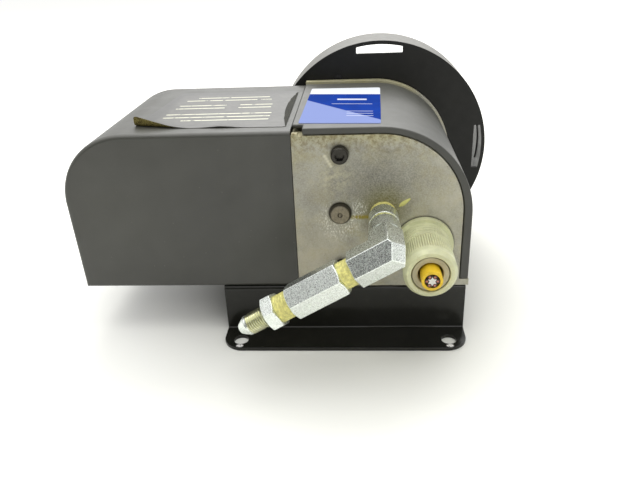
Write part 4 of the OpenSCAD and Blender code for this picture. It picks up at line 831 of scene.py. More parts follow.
def dark_label():
    """Dark film label with thin pale rules, painted shadow along its back and left edges, and the olive glue side
    of its curls.
    """
    f = Finish("label_dark", (0.075, 0.073, 0.065), 0.36, Specular_IOR_Level=0.7)
    right, back = f.axis("X"), f.axis("Y")
    tone = f.mix(f.levels(f.grain(6, 6, 0.7), 0.40, 0.65), (0.075, 0.073, 0.064),
                 (0.115, 0.113, 0.098))
    worn = f.levels(f.grain(4.5, 3, 0.6, (1, 1.6, 1)), 0.34, 0.46)
    for low, start, end in ((33, -92, -46), (26, -98, -44), (13, -100, -70), (6, -100, -70),
                            (13, -62, -42), (6, -62, -42), (-8, -102, -40), (-15, -102, -40),
                            (-22, -90, -40)):
        rule = bar(f, back, low, low + 1.9, right, start, end)
        tone = f.over(tone, rule, worn, (0.85, 0.84, 0.62))
    # Darker band along the back and left edges: painted shadow at the label's edge
    rim = f.sums("MAXIMUM", f.levels(back, 39, 45), f.levels(right, -101, -106))
    f.set("Base Color", f.over(tone, rim, 0.6, (0.03, 0.03, 0.026)))
    f.set("Normal", f.bump(f.grain(9, 3), 0.10, 0.5))
    for name, dark, light in (("label_glue", (0.10, 0.075, 0.02), (0.42, 0.36, 0.12)),
                              ("label_edge", (0.012, 0.012, 0.008), (0.045, 0.045, 0.030))):
        g = Finish(name, light, 0.7, Specular_IOR_Level=0.2)
        specks = g.levels(g.grain(0.8, 4, 0.7), 0.42, 0.62)
        g.set("Base Color", g.mix(specks, dark, light))
        g.set("Normal", g.bump(g.grain(0.6, 3), 0.15, 0.8))


def make_finishes(colours):
    """Every material of the pump; a moulded one has grain size and depth after its roughness."""
    cover_enamel(colours)
    bracket_enamel(colours)
    worn_enamel(colours)
    cast_metal(colours)
    zinc_plate(colours)
    natural_nylon(colours)
    seal_tape(colours)
    staked_metal()
    blue_label(colours)
    dark_label()
    seat_plastic(colours)
    moulded("ring_nylon", colours.ring, 0.5, 0.8)
    moulded("cable_yellow", colours.cable, 0.42, 0.6, 0.05)
    moulded("rubber_black", (0.006, 0.006, 0.006), 0.6, Specular_IOR_Level=0.2)
    moulded("core_dark", (0.045, 0.014, 0.012), 0.45)
    moulded("filler_white", (0.80, 0.79, 0.72), 0.85, 0.35, 0.12)
    moulded("block_white", (0.70, 0.69, 0.64), 0.45)
    moulded("board_green", (0.01, 0.10, 0.03), 0.35)
    moulded("sealant", (0.62, 0.60, 0.20), 0.6, 0.5, 0.2)
    machined("machined_steel", (0.45, 0.45, 0.46), 0.3)
    machined("dark_steel", (0.032, 0.030, 0.025), 0.28, 0.8)
    machined("bronze", (0.45, 0.26, 0.10), 0.4)
    machined("gear_brass", (0.50, 0.40, 0.15), 0.35)
    machined("spigot_brass", (0.55, 0.45, 0.18), 0.32)
    machined("laminations", (0.18, 0.19, 0.21), 0.5, 0.9, 0.5, (0.3, 8, 8))
    machined("copper_wire", (0.55, 0.20, 0.07), 0.35, 1.0, 0.5, (8, 0.5, 0.5))
    machined("case_silver", (0.5, 0.5, 0.52), 0.25)
    machined("zinc_thread", (0.60, 0.60, 0.40), 0.22, 1.0)
    machined("copper_end", (0.62, 0.28, 0.20), 0.45, 0.7)


class BuildBracket(Operator):
    """Hat section bracket of gloss black sheet with rubbed edges"""

    bl_idname = "pump.bracket"
    bl_label = "Bracket"

    def execute(self, context):
        sizes = context.scene.pump_sizes
        piece = cad_copy("mounting_bracket", "bracket")
        round_edges(piece, sizes.edge, material=1)
        recolour(piece, "bracket_black", "bracket_edge")
        finish_piece(piece, "base", replaced=["mounting_bracket"])
        return {"FINISHED"}


class BuildHousing(Operator):
    """Cast pump housing with its flanges, tab and ports"""

    bl_idname = "pump.housing"
    bl_label = "Pump housing"

    def execute(self, context):
        sizes = context.scene.pump_sizes
        softened("pump_housing", "housing", "cast_aluminium", sizes.edge)
        return {"FINISHED"}


class BuildWrapCover(Operator):
    """Cover that wraps the housing's top and side"""

    bl_idname = "pump.wrap_cover"
    bl_label = "Wrap cover"

    def execute(self, context):
        sizes = context.scene.pump_sizes
        softened("wrap_cover", "wrap_shell", "cover_grey", sizes.sheet_edge)
        return {"FINISHED"}


class BuildMotorCover(Operator):
    """Drawn shell over the motor, with soft rims and a leaning end wall"""

    bl_idname = "pump.motor_cover"
    bl_label = "Motor cover"

    def execute(self, context):
        sizes = context.scene.pump_sizes
        radius = sizes.cover_corner
        left, right = COVER_LOW.x, COVER_HIGH.x
        low, high = COVER_LOW.z, COVER_HIGH.z
        arc_steps = 32
        outline = [(right, high), (right, low), (left + sizes.cover_lean, low)]
        for i in range(arc_steps + 1):
            a = math.pi - math.pi / 2 * i / arc_steps
            outline.append((left + radius + radius * math.cos(a),
                            high - radius + radius * math.sin(a)))
        front, back = COVER_LOW.y, COVER_HIGH.y
        shell = extruded("motor_shell", [(x, front, z) for x, z in outline],
                         (0, back - front, 0))
        close = MM / 10

        def on_rim(edge):
            """The front and back rims, apart from the open right end."""
            a, b = (shell.data.vertices[i].co for i in edge.vertices)
            return abs(a.y - b.y) < close and min(a.x, b.x) < right - close

        pick(shell, "EDGE", on_rim)
        bpy.ops.mesh.bevel(offset=sizes.cover_rim, segments=8, affect="EDGES")
        done()
        pick(shell, "FACE", lambda face: face.normal.x > 0.99 and face.center.x > right - close)
        bpy.ops.mesh.delete(type="FACE")
        done()
        modify(shell, "SOLIDIFY", thickness=sizes.cover_wall, offset=-1, use_even_offset=True)
        smooth(shell, 30)
        finish_piece(shell, "base", ["cover_grey"], ["motor_cover"])
        return {"FINISHED"}


class BuildSeat(Operator):
    """Open cup for the reservoir, and the gasket behind it"""

    bl_idname = "pump.seat"
    bl_label = "Reservoir seat"

    def execute(self, context):
        sizes = context.scene.pump_sizes
        cup = cad_copy("reservoir_seat", "seat_cup")
        seat = (SEAT_LOW + SEAT_HIGH) / 2
        wall = (SEAT_HIGH.x - SEAT_LOW.x) / 2 - SEAT_WALL * MM
        front, back = SEAT_LOW.y + LUGS_FROM_DISC * MM, SEAT_HIGH.y - LUGS_FROM_RIM * MM

        def low_lugs(co):
            """The bayonet lugs stand only a little out of the wall, clear of the slots."""
            out = Vector((co.x - seat.x, 0, co.z - seat.z))
            inside = wall - LUGS_FARTHEST * MM < out.length < wall - LUGS_NEAREST * MM
            if not (inside and front < co.y < back):
                return co
            near = out.normalized() * (wall - LUG_STAND * MM)
            return Vector((seat.x + near.x, co.y, seat.z + near.z))

        reshape(cup, low_lugs)
        round_edges(cup, sizes.edge)
        finish_piece(cup, "base", ["seat_black"], ["reservoir_seat"])
        softened("seat_gasket", "seat_seal", "rubber_black", sizes.fine_edge)
        return {"FINISHED"}


class BuildOutlet(Operator):
    """Plated extension, elbow and check valve body"""

    bl_idname = "pump.outlet"
    bl_label = "Outlet fittings"

    def execute(self, context):
        sizes = context.scene.pump_sizes
        for fitting, name in (("outlet_extension", "extension_piece"),
                              ("outlet_elbow", "elbow"), ("check_valve_body", "valve_body")):
            softened(fitting, name, "zinc_steel", sizes.edge)
        return {"FINISHED"}


class BuildFlareEnd(Operator):
    """Adapter with its hexagon, a cut thread and the flared nose"""

    bl_idname = "pump.flare_end"
    bl_label = "Flare adapter"

    def execute(self, context):
        sizes = context.scene.pump_sizes
        start, end, tip = HEX_END, THREAD_END, NOSE_END
        hexagon = cad_copy("flare_adapter", "flare_adapter_body")
        edit_all(hexagon)
        bpy.ops.mesh.bisect(plane_co=on_line(start + 0.05), plane_no=FLOW, clear_outer=True,
                            use_fill=True)
        done()
        round_edges(hexagon, sizes.fine_edge)
        crest, pitch = FLARE_R * MM, sizes.thread_pitch
        root = crest - sizes.thread_depth
        ridge = new_vertex("flare_thread")
        draw_line([(root, 0, 0), (crest, 0, pitch * CREST_FROM),
                   (crest, 0, pitch * CREST_TO), (root, 0, pitch)])
        done()
        turns = int((end - start) * MM / pitch) - 1
        modify(ridge, "SCREW", angle=TURN, screw_offset=pitch, iterations=turns, steps=40,
               render_steps=40, use_merge_vertices=True, merge_threshold=MM / 200, axis="Z")
        edit_all(ridge)
        bpy.ops.mesh.normals_make_consistent(inside=False)
        done()
        stand_on(ridge, on_line(start + 0.5), FLOW)
        inner, rim = root / MM, FLARE_R - COLLAR_IN
        reach, nose = end - start, tip - start
        core = turned_mm("flare_core", [
            (0, 0), (inner, 0), (inner, reach - 0.4), (rim, reach + 0.1), (rim, reach + 0.9),
            (NOSE_R + 0.35, nose - 0.35), (NOSE_R, nose), (BORE_R + 0.25, nose),
            (BORE_R, nose - 0.25), (BORE_R, reach - BORE_DEEP), (0, reach - BORE_DEEP)],
            64, closed=False)
        stand_on(core, on_line(start), FLOW)
        smooth(ridge, 30)
        smooth(core, 35)
        piece = joined("adapter", [hexagon, ridge, core])
        finish_piece(piece, "base", ["zinc_steel", "zinc_thread"], ["flare_adapter"])
        for face in piece.data.polygons:
            along = (face.center - BEND).dot(FLOW) / MM
            face.material_index = int(start + 0.3 < along < end - 0.2)
        return {"FINISHED"}


class BuildTape(Operator):
    """Thread tape over the four pipe joints, ridged by the threads under it"""

    bl_idname = "pump.tape"
    bl_label = "Thread tape"

    def execute(self, context):
        sizes = context.scene.pump_sizes
        thread, lift = PIPE_R * MM, TAPE_FOLD * MM
        sleeves = []
        for place, axis, length in TAPED_JOINTS:
            rings = max(4, round(length / 0.2))
            outline = []
            for i in range(rings + 1):
                along = length * MM * i / rings
                wave = 0.5 + 0.5 * math.cos(TURN * along / sizes.tape_pitch)
                outline.append((thread + (TAPE_LEAST + TAPE_CREST * wave) * MM, along))
            outline += [(thread - 0.05 * MM, length * MM), (thread - 0.05 * MM, 0), outline[0]]
            sleeve = turned("tape_sleeve", outline, 72)

            def crumple(co):
                """The outside of the tape lies in small folds."""
                radius = math.hypot(co.x, co.y)
                if radius < thread:
                    return co
                folds = noise.noise(co * 420 + Vector((length, 0, 0))) * lift
                folds -= abs(noise.noise(co * 900)) * lift * 0.6
                return Vector((co.x, co.y, 0)) * (1 + folds / radius) + Vector((0, 0, co.z))

            reshape(sleeve, crumple)
            stand_on(sleeve, place, axis)
            sleeves.append(sleeve)
        tape = joined("tape", sleeves)
        smooth(tape, 60)
        finish_piece(tape, "base", ["thread_tape"], ["thread_tape"])
        return {"FINISHED"}


class BuildCable(Operator):
    """Cut end of the cable: jacket, copper cores and the fibrous filler"""

    bl_idname = "pump.cable"
    bl_label = "Cable end"

    def execute(self, context):
        into = Vector((0, 1, 0))
        end = Vector((GLAND.x, CABLE_LOW.y, GLAND.z))
        outer = (CABLE_HIGH.x - CABLE_LOW.x) / MM / 2
        inner = CORE_RING_R + CORE_R
        length = (CABLE_HIGH.y - CABLE_LOW.y) / MM
        jacket = turned_mm("cable", [
            (outer - 0.35, 0), (outer, 0.3), (outer, length), (inner, length),
            (inner, 0.2), (inner + 0.2, 0), (outer - 0.35, 0)], 72)

        def hand_cut(co):
            """The jacket's end is not quite flat."""
            if co.z > MM:
                return co
            return co + Vector((0, 0, noise.noise(co * 300) * 0.22 * MM + 0.15 * MM))

        reshape(jacket, hand_cut)
        stand_on(jacket, end, into)
        smooth(jacket, 40)
        finish_piece(jacket, "base", ["cable_yellow"], ["cable_jacket"])

        radius, core_length = CORE_R - 0.05, (CORES_HIGH.y - CORES_LOW.y) / MM
        parts, wires = [], []
        for i in range(CORE_COUNT):
            spot = end + around(i / CORE_COUNT) * CORE_RING_R * MM
            back = 0.1 + 0.25 * noise.noise(spot * 700)
            tail = core_length - back - 0.2
            core = turned_mm("core", [
                (0, 0.1), (BUNDLE_R, 0.1), (BUNDLE_R + 0.04, 0), (radius - 0.1, 0),
                (radius, 0.1), (radius, tail), (0, tail)], 24, closed=False)
            painted(core, "core_dark")
            stand_on(core, spot + into * (abs(back) + 0.15) * MM, into)
            parts.append(core)
            for k in range(STRAND_COUNT):
                last = STRAND_COUNT - 1
                wire = turned_mm("wire", [
                    (0, 0), (STRAND_R * 0.7, 0), (STRAND_R, 0.06), (STRAND_R, STRAND_LONG),
                    (0, STRAND_LONG)], 8, closed=False)
                painted(wire, "copper_end")
                out = around(k / last) * 2 * STRAND_R * MM * (k < last)
                stand_on(wire, spot + out + into * (0.1 + 0.05 * (k % 3)) * MM, into)
                wires.append(wire)
        cores = joined("cores", parts + wires)
        smooth(cores, 40)
        finish_piece(cores, "base", replaced=["cable_cores"])

        outline = []
        for i in range(CORE_COUNT):
            for half, reach in ((0, CORE_RING_R - CORE_R * 0.96), (0.5, CORE_RING_R * 0.93)):
                outline.append(around((i + half) / CORE_COUNT) * reach * MM)
        depth = FILLER_HIGH.y - FILLER_LOW.y
        star = extruded("filler", outline, (0, depth, 0))
        modify(star, "BEVEL", width=0.12 * MM, segments=2, limit_method="ANGLE",
               angle_limit=math.radians(60), use_clamp_overlap=True)
        star.location = end
        set_place(star)
        smooth(star, 50)
        finish_piece(star, "base", ["filler_white"], ["cable_filler"])
        return {"FINISHED"}


def cover_top(x):
    """Height of the wrap cover's top, which turns down towards its round corner."""
    beyond = max(0.0, x - (WRAP_HIGH.x - WRAP_CORNER))
    return WRAP_HIGH.z - WRAP_CORNER + math.sqrt(WRAP_CORNER ** 2 - beyond ** 2)


def sheet_on(name, edges, corner, top, thickness, bend, materials):
    """A thin label over four corners, bent by a rule and laid on the height top gives."""
    deselect()
    bpy.ops.mesh.primitive_grid_add(x_subdivisions=48, y_subdivisions=64, size=2)
    label = bpy.context.object
    label.name = name
    back_left, back_right, front_left, front_right = (Vector(e) * MM for e in edges)
    wide = (back_right - back_left).length / 2
    deep = (back_left - front_left).length / 2
    round_r = corner * MM

    def place(co):
        """From the square grid, through round corners, to the four corners on the cover."""
        x, y = co.x * wide, co.y * deep
        dx, dy = abs(x) - (wide - round_r), abs(y) - (deep - round_r)
        if dx > 0 and dy > 0:
            shrink = max(dx, dy) / math.hypot(dx, dy)
            x = math.copysign(wide - round_r + dx * shrink, x)
            y = math.copysign(deep - round_r + dy * shrink, y)
        u, v = (x / wide + 1) / 2, (y / deep + 1) / 2
        spot = (front_left.lerp(front_right, u)).lerp(back_left.lerp(back_right, u), v)
        lifted = bend(Vector((spot.x, spot.y, 0)))
        return Vector((lifted.x, lifted.y, top(lifted.x) + lifted.z + thickness))

    reshape(label, place)
    painted(label, *materials)
    modify(label, "SOLIDIFY", thickness=thickness, offset=-1, material_offset=1,
           material_offset_rim=0)
    return label


class BuildLabels(Operator):
    """Plain blue label and dark film label, with their lifted corners"""

    bl_idname = "pump.labels"
    bl_label = "Labels"

    def execute(self, context):
        sizes = context.scene.pump_sizes
        thin = sizes.label_thickness

        def right_lift(co):
            """The right edge stands up a little in front of the middle."""
            edge = max(0.0, co.x - RIGHT_FROM * MM) / (RIGHT_RUN * MM)
            along = max(0.0, 1 - abs(co.y - RIGHT_MIDDLE * MM) / (RIGHT_HALF * MM))
            return co + Vector((0, 0, RIGHT_HIGH * MM * edge ** 2 * along))

        blue = sheet_on("blue_label", BLUE_LABEL, LABEL_CORNER, cover_top, thin,
                        right_lift, ["label_blue"])
        smooth(blue, 50)
        finish_piece(blue, "base")

        def corner_curl(co):
            """The front edge lifts near the fold, and the corner past it curls up."""
            beyond = (co - FOLD_AT).dot(FOLD_WAY)
            if beyond <= 0:
                lift = max(0, 1 - abs(co.x - FRONT_MIDDLE * MM) / (FRONT_HALF * MM))
                edge = max(0, (FRONT_FROM * MM - co.y) / (FRONT_RUN * MM))
                return co + Vector((0, 0, FRONT_HIGH * MM * lift * edge))
            angle = min(beyond / CURL_R, CURL_MOST)
            rest = beyond - CURL_R * angle
            run = CURL_R * math.sin(angle) + rest * math.cos(angle)
            rise = CURL_R * (1 - math.cos(angle)) + rest * math.sin(angle)
            return co + FOLD_WAY * (run - beyond) + Vector((0, 0, rise))

        dark = sheet_on("film_label", DARK_LABEL, FILM_CORNER, lambda x: COVER_HIGH.z, thin,
                        corner_curl, ["label_dark", "label_glue"])
        right, front, back = FLAP_RIGHT * MM, FLAP_FRONT * MM, FLAP_BACK * MM
        steps = 28
        flap_line = [(right, front + (back - front) * i / steps, 0) for i in range(steps + 1)]
        for i in range(1, steps):
            share = i / steps
            width = FLAP_WIDE * math.sin(math.pi * share) ** 0.8
            width += FLAP_RAGGED * noise.noise(Vector((share * 14, 0, 0)))
            y = back + (front - back) * share
            flap_line.append((right - max(0.1, width) * MM, y, 0))
        flap = extruded("label_flap", flap_line, (0, 0, FLAP_THICK * MM))

        def raised(co):
            """The strip lies over the film and stands free towards its ragged side."""
            widest = (FLAP_WIDE + FLAP_RAGGED) * MM
            free = min(1.0, max(0.0, (right - co.x) / widest))
            lift = (FLAP_GAP + FLAP_LIFT * free) * MM
            return co + Vector((0, 0, COVER_HIGH.z + thin + lift))

        reshape(flap, raised)
        label = joined("film_label", [dark, painted(flap, "label_edge")])
        smooth(label, 50)
        finish_piece(label, "base")
        return {"FINISHED"}


class BuildMarks(Operator):
    """Dab of sealant by the outlet and a screw on the seat's disc"""

    bl_idname = "pump.marks"
    bl_label = "Small marks"

    def execute(self, context):
        deselect()
        bpy.ops.mesh.primitive_uv_sphere_add(segments=32, ring_count=16, radius=MM)
        dab = bpy.context.object
        dab.name = "sealant_dab"

        def smeared(co):
            """A flat tilted drop with a ragged rim."""
            long, wide, high = DAB_LONG * co.x, DAB_WIDE * co.z, DAB_HIGH * co.y
            x = long * math.cos(DAB_TILT) - wide * math.sin(DAB_TILT)
            z = long * math.sin(DAB_TILT) + wide * math.cos(DAB_TILT)
            ragged = 1 + 0.5 * noise.noise(co * 900)
            return DAB + Vector((x * ragged, high * ragged, z * ragged))

        reshape(dab, smeared)
        smooth(dab, 60)
        finish_piece(dab, "base", ["sealant"])
        head = turned_mm("disc_screw", [
            (0, DISC_SCREW_HIGH / 2), (DISC_SOCKET_R, DISC_SCREW_HIGH / 2),
            (DISC_SOCKET_R, DISC_SCREW_HIGH), (DISC_SOCKET_R + 1, DISC_SCREW_HIGH - 0.1),
            (DISC_SCREW_R - 0.1, DISC_SCREW_HIGH - 0.6), (DISC_SCREW_R, 0), (0, 0)], 40)
        stand_on(head, DISC_SCREW, OUT_OF_FACE)
        smooth(head, 35)
        finish_piece(head, "base", ["rubber_black"])
        return {"FINISHED"}


class BuildGland(Operator):
    """Cable gland: its body, the fluted nut and the clamping ring in the nut's mouth"""

    bl_idname = "pump.gland"
    bl_label = "Cable gland"

    def execute(self, context):
        sizes = context.scene.pump_sizes
        softened("gland_body", "gland_base", "gland_nylon", sizes.fine_edge)
        low, high = corners("gland_nut")
        back, length = high.y, (high.y - low.y) / MM
        outer = (high.x - low.x) / MM / 2 + NUT_MORE
        rings = 16
        steps = [FLUTE_FROM + (FLUTE_TO - FLUTE_FROM) * i / rings for i in range(rings + 1)]
        nut = turned_mm("gland_cap", [
            (NUT_THREAD_R, 0), (outer - 0.4, 0), (outer, 0.4), (outer, GROOVE_FROM),
            (outer - GROOVE_DEPTH, GROOVE_FROM + 0.3), (outer - GROOVE_DEPTH, GROOVE_TO - 0.3),
            (outer, GROOVE_TO), *[(outer, step) for step in steps],
            (outer, length - 2.4), (outer - 0.15, length - 2.1), (outer - 1.5, length - 0.25),
            (outer - 1.8, length), (NUT_MOUTH_R + 0.25, length), (NUT_MOUTH_R, length - 0.3),
            (NUT_MOUTH_R, NUT_THREAD_END), (NUT_THREAD_R, NUT_THREAD_END),
            (NUT_THREAD_R, 0)], FLUTES * 4)

        def fluted(co):
            """The flutes are cut into the grip and run out at both of its ends."""
            radius, along = math.hypot(co.x, co.y), co.z / MM
            if radius < (outer - 0.05) * MM or not FLUTE_FROM - 0.1 < along < FLUTE_TO + 0.1:
                return co
            run_in = min(1, (along - FLUTE_FROM) / 0.9, (FLUTE_TO - along) / 2.5)
            wave = 0.5 - 0.5 * math.cos(FLUTES * math.atan2(co.y, co.x))
            shrink = 1 - FLUTE_DEPTH * MM * wave ** 2 * max(0, run_in) / radius
            return Vector((co.x * shrink, co.y * shrink, co.z))

        reshape(nut, fluted)
        stand_on(nut, Vector((GLAND.x, back, GLAND.z)), OUT_OF_FACE)
        smooth(nut, 24)
        finish_piece(nut, "base", ["gland_nylon"], ["gland_nut"])

        low, high = corners("gland_clamp_ring")
        length, outer = (high.y - low.y) / MM, (high.x - low.x) / MM / 2
        ring = turned_mm("gland_ring", [
            (RING_BORE_R, 0), (outer, 0), (outer, length - 3.2),
            (outer - RING_STEP, length - 2.9), (outer - RING_STEP, length - 0.5),
            (outer - 0.55, length - 0.15), (outer - 0.9, length), (RING_BORE_R + 0.7, length),
            (RING_BORE_R + 0.3, length - 0.15), (RING_BORE_R, length - 0.6),
            (RING_BORE_R, 0)], 96)
        stand_on(ring, Vector((GLAND.x, high.y, GLAND.z)), OUT_OF_FACE)
        smooth(ring, 35)
        finish_piece(ring, "base", ["ring_nylon"], ["gland_clamp_ring"])
        return {"FINISHED"}


class BuildPlug(Operator):
    """Relief plug, staked into the face: a blunt cone with a dimple"""

    bl_idname = "pump.plug"
    bl_label = "Relief plug"

    def execute(self, context):
        low, high = corners("relief_plug")
        radius, length = (high.x - low.x) / MM / 2, (high.y - low.y) / MM
        out = (FACE_Y - low.y) / MM
        inside, top = length - out, out + PLUG_MORE
        plug = turned_mm("staked_plug", [
            (0, -inside), (radius - 0.3, -inside), (radius, 0.3 - inside), (radius, 0.2),
            (radius - 0.25, out), (radius - 0.8, top - 0.5), (radius - 1.2, top - 0.1),
            (radius - 1.6, top), (DIMPLE_R, top), (DIMPLE_R - 0.15, top - 0.15),
            (DIMPLE_R - 0.35, top - 0.7), (DIMPLE_R - 0.85, top - DIMPLE_DEEP + 0.1),
            (0, top - DIMPLE_DEEP)], 72, closed=False)

        def beaten(co):
            """The end outside the face is beaten a little out of round."""
            if co.z < MM:
                return co
            return co * (1 + 0.03 * noise.noise(co * 500)) + Vector((
                0, 0, 0.10 * MM * noise.noise(co * 900)))

        reshape(plug, beaten)
        stand_on(plug, Vector((PLUG.x, FACE_Y, PLUG.z)), OUT_OF_FACE)
        smooth(plug, 35)
        finish_piece(plug, "base", ["plug_metal"], ["relief_plug"])
        return {"FINISHED"}


class BuildFaceScrews(Operator):
    """The two socket head screws in the housing's face, with knurled heads"""

    bl_idname = "pump.face_screws"
    bl_label = "Face screws"

    def execute(self, context):
        radius, tall = HEAD_R / MM, (FACE_Y - SCREW_LOW.y) / MM
        length = (SCREW_HIGH.y - FACE_Y) / MM
        shank = radius * SHANK_SHARE
        screw = turned_mm("front_screws", [
            (0, -length), (shank - 0.5, -length), (shank, 0.5 - length), (shank, 0),
            (radius - 0.2, 0), (radius, 0.3), (radius, 0.45), (radius, tall - 0.75),
            (radius, tall - 0.6), (radius - 0.45, tall), (0, tall)], KNURLS * 4, closed=False)

        def knurled(co):
            """The knurls are cut into the head's side."""
            if math.hypot(co.x, co.y) < (radius - 0.05) * MM or not 0.4 < co.z / MM < tall - 0.7:
                return co
            wave = 0.5 - 0.5 * math.cos(KNURLS * math.atan2(co.y, co.x))
            shrink = 1 - KNURL_DEPTH * wave / radius
            return Vector((co.x * shrink, co.y * shrink, co.z))

        reshape(screw, knurled)
        across = radius * SOCKET_SHARE / math.cos(math.pi / 6)
        socket = extruded("socket", [
            (across * MM * math.cos(TURN * i / 6), across * MM * math.sin(TURN * i / 6),
             (tall - SOCKET_DEEP) * MM) for i in range(6)], (0, 0, 4 * MM))
        modify(screw, "BOOLEAN", object=socket, operation="DIFFERENCE", solver="EXACT")
        bpy.data.objects.remove(socket)
        twin = screw.copy()
        twin.data = screw.data.copy()
        context.scene.collection.objects.link(twin)
        stand_on(screw, SCREW, OUT_OF_FACE)
        stand_on(twin, Vector((SCREW.x, FACE_Y, SCREW_LOW.z + HEAD_R)), OUT_OF_FACE)
        screws = joined("front_screws", [screw, twin])
        smooth(screws, 32)
        finish_piece(screws, "base", ["dark_steel"], ["face_screws"])
        return {"FINISHED"}


class BuildSprings(Operator):
    """Springs of the check ball and the relief poppet"""

    bl_idname = "pump.springs"
    bl_label = "Valve springs"

    def execute(self, context):
        for name, joint_name in (("check_spring", "check_lift"), ("relief_spring", "relief_lift")):
            joint, slot = JOINTS[joint_name], SLOTS[name]
            spring = cad_copy(name, name + "_wire", dissolve=False)
            smooth(spring, 60)
            finish_piece(spring, "base", [slot], [name])
            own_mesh(spring)
        return {"FINISHED"}


class DressInside(Operator):
    """Finishes of the CAD pieces that keep their own mesh"""

    bl_idname = "pump.inside"
    bl_label = "Inner pieces"

    def execute(self, context):
        for name, part in NODES.items():
            if not part.hide_render:
                painted(part, SLOTS[name])
        return {"FINISHED"}


class BuildStudio(Operator):
    """Pale floor and backdrop, plain soft light and the camera"""

    bl_idname = "pump.studio"
    bl_label = "Studio"

    def execute(self, context):
        scene = context.scene
        deselect()
        bpy.ops.mesh.primitive_plane_add(size=8, location=(0, 0, 0))
        floor = context.object
        floor.name = "studio_floor"
        floor.data.materials.append(floor_paper())
        white_world(scene)
        for lamp in LAMPS:
            soft_lamp(*lamp)
        camera = bpy.data.cameras.new("camera")
        camera.lens = CAMERA_LENS
        camera.sensor_width = SENSOR
        camera.sensor_fit = "HORIZONTAL"
        holder = bpy.data.objects.new("camera", camera)
        scene.collection.objects.link(holder)
        holder.matrix_world = (
            Matrix.Translation(CAMERA_PLACE)
            @ Matrix.Rotation(-CAMERA_YAW, 4, "Z")
            @ Matrix.Rotation(math.pi / 2 - CAMERA_DOWN, 4, "X")
            @ Matrix.Rotation(CAMERA_ROLL, 4, "Z")
        )
        scene.camera = holder
        scene.view_settings.view_transform = "Standard"
        return {"FINISHED"}


def soft_lamp(name, place, target, size, power):
    """A square area lamp that faces its target."""
    light = bpy.data.lights.new(name, "AREA")
    light.energy = power
    light.size = size
    lamp = bpy.data.objects.new(name, light)
    bpy.context.scene.collection.objects.link(lamp)
    aim = (Vector(target) - Vector(place)).to_track_quat("-Z", "Y")
    lamp.matrix_world = Matrix.Translation(place) @ aim.to_matrix().to_4x4()


def seen_white(tree):
    """1 for rays from the camera, a mirror or glass, 0 for rays that carry light."""
    path = tree.nodes.new("ShaderNodeLightPath")
    both = path.outputs["Is Camera Ray"]
    for name in ("Is Glossy Ray", "Is Transmission Ray"):
        both = node(tree, "ShaderNodeMath", {0: both, 1: path.outputs[name]},
                    operation="MAXIMUM").outputs[0]
    return both


def span(tree, value, low, high, to_low, to_high):
    """A value spread from one range to another."""
    return node(tree, "ShaderNodeMapRange", {
        "Value": value, "From Min": low, "From Max": high, "To Min": to_low,
        "To Max": to_high}).outputs["Result"]


def product(tree, first, second):
    """One value times another."""
    return node(tree, "ShaderNodeMath", {0: first, 1: second}, operation="MULTIPLY").outputs[0]


def floor_paper():
    """Pale paper that keeps the shadow near the pump and is white where it is seen far off."""
    material = bpy.data.materials.new("studio_floor")
    material.use_nodes = True
    tree = material.node_tree
    tree.nodes.clear()
    paper = node(tree, "ShaderNodeBsdfDiffuse", {"Color": PAPER})
    place = tree.nodes.new("ShaderNodeTexCoord").outputs["Object"]
    far = node(tree, "ShaderNodeVectorMath", {0: place}, operation="LENGTH").outputs["Value"]
    shine = node(tree, "ShaderNodeMath", {
        0: span(tree, far, SHADOW_FROM, SHADOW_TO, FLOOR_NEAR, FLOOR_FAR),
        1: span(tree, far, EDGE_FROM, EDGE_TO, 0.0, FLOOR_EDGE)}, operation="ADD").outputs[0]
    lift = product(tree, seen_white(tree), shine)
    glow = node(tree, "ShaderNodeEmission", {"Strength": lift})
    both = node(tree, "ShaderNodeAddShader", {0: paper.outputs[0], 1: glow.outputs[0]})
    node(tree, "ShaderNodeOutputMaterial", {"Surface": both.outputs[0]})
    return material


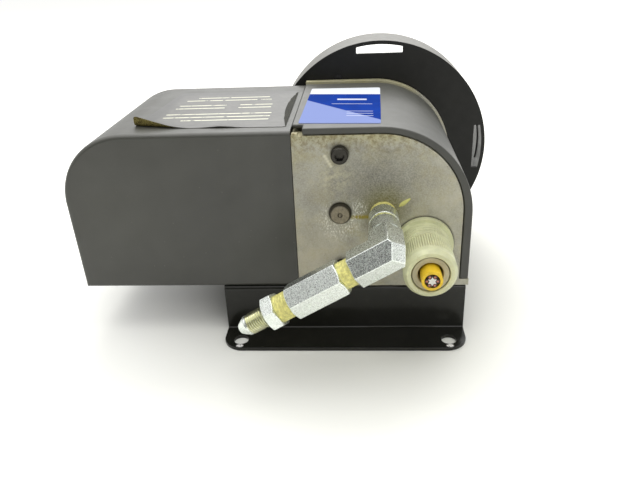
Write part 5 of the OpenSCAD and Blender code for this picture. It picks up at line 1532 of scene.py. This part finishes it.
def white_world(scene):
    """White behind and above, darker towards the camera."""
    world = bpy.data.worlds.new("studio_world")
    scene.world = world
    world.use_nodes = True
    tree = world.node_tree
    way = tree.nodes.new("ShaderNodeTexCoord").outputs["Generated"]
    ahead = node(tree, "ShaderNodeSeparateXYZ", {0: way}).outputs["Y"]
    dim = span(tree, ahead, -0.8, 0.0, FRONT_SHADE, 1.0)
    lift = span(tree, seen_white(tree), 0.0, 1.0, WORLD_LIGHT, 1.0)
    back = tree.nodes["Background"]
    back.inputs["Color"].default_value = (1, 1, 1, 1)
    seen = tree.nodes.new("ShaderNodeLightPath").outputs["Is Camera Ray"]
    strength = node(tree, "ShaderNodeMath", {0: seen, 1: product(tree, dim, lift)},
                    operation="MAXIMUM")
    tree.links.new(strength.outputs[0], back.inputs["Strength"])


OPERATORS = (
    BuildBracket, BuildHousing, BuildWrapCover, BuildMotorCover, BuildSeat, BuildOutlet,
    BuildFlareEnd, BuildTape, BuildGland, BuildCable, BuildPlug, BuildFaceScrews,
    BuildSprings, BuildLabels, BuildMarks, DressInside, BuildStudio,
)


class PumpPanel(Panel):
    bl_label = "Lubrication pump"
    bl_idname = "VIEW3D_PT_pump"
    bl_space_type = "VIEW_3D"
    bl_region_type = "UI"
    bl_category = "Pump"

    def draw(self, context):
        for group in (context.scene.pump_sizes, context.scene.pump_colours):
            for name in group.bl_rna.properties.keys():
                if name not in ("rna_type", "name"):
                    self.layout.prop(group, name)
        for operator in OPERATORS:
            self.layout.operator(operator.bl_idname)


CLASSES = (PumpSizes, PumpColours, *OPERATORS, PumpPanel)


def register():
    for item in CLASSES:
        bpy.utils.register_class(item)
    bpy.types.Scene.pump_sizes = PointerProperty(type=PumpSizes)
    bpy.types.Scene.pump_colours = PointerProperty(type=PumpColours)


def unregister():
    del bpy.types.Scene.pump_colours
    del bpy.types.Scene.pump_sizes
    for item in reversed(CLASSES):
        bpy.utils.unregister_class(item)


def main():
    """Builds every piece and the studio."""
    register()
    make_finishes(bpy.context.scene.pump_colours)
    for operator in OPERATORS:
        group, name = operator.bl_idname.split(".")
        getattr(getattr(bpy.ops, group), name)()


if __name__ == "__main__":
    main()
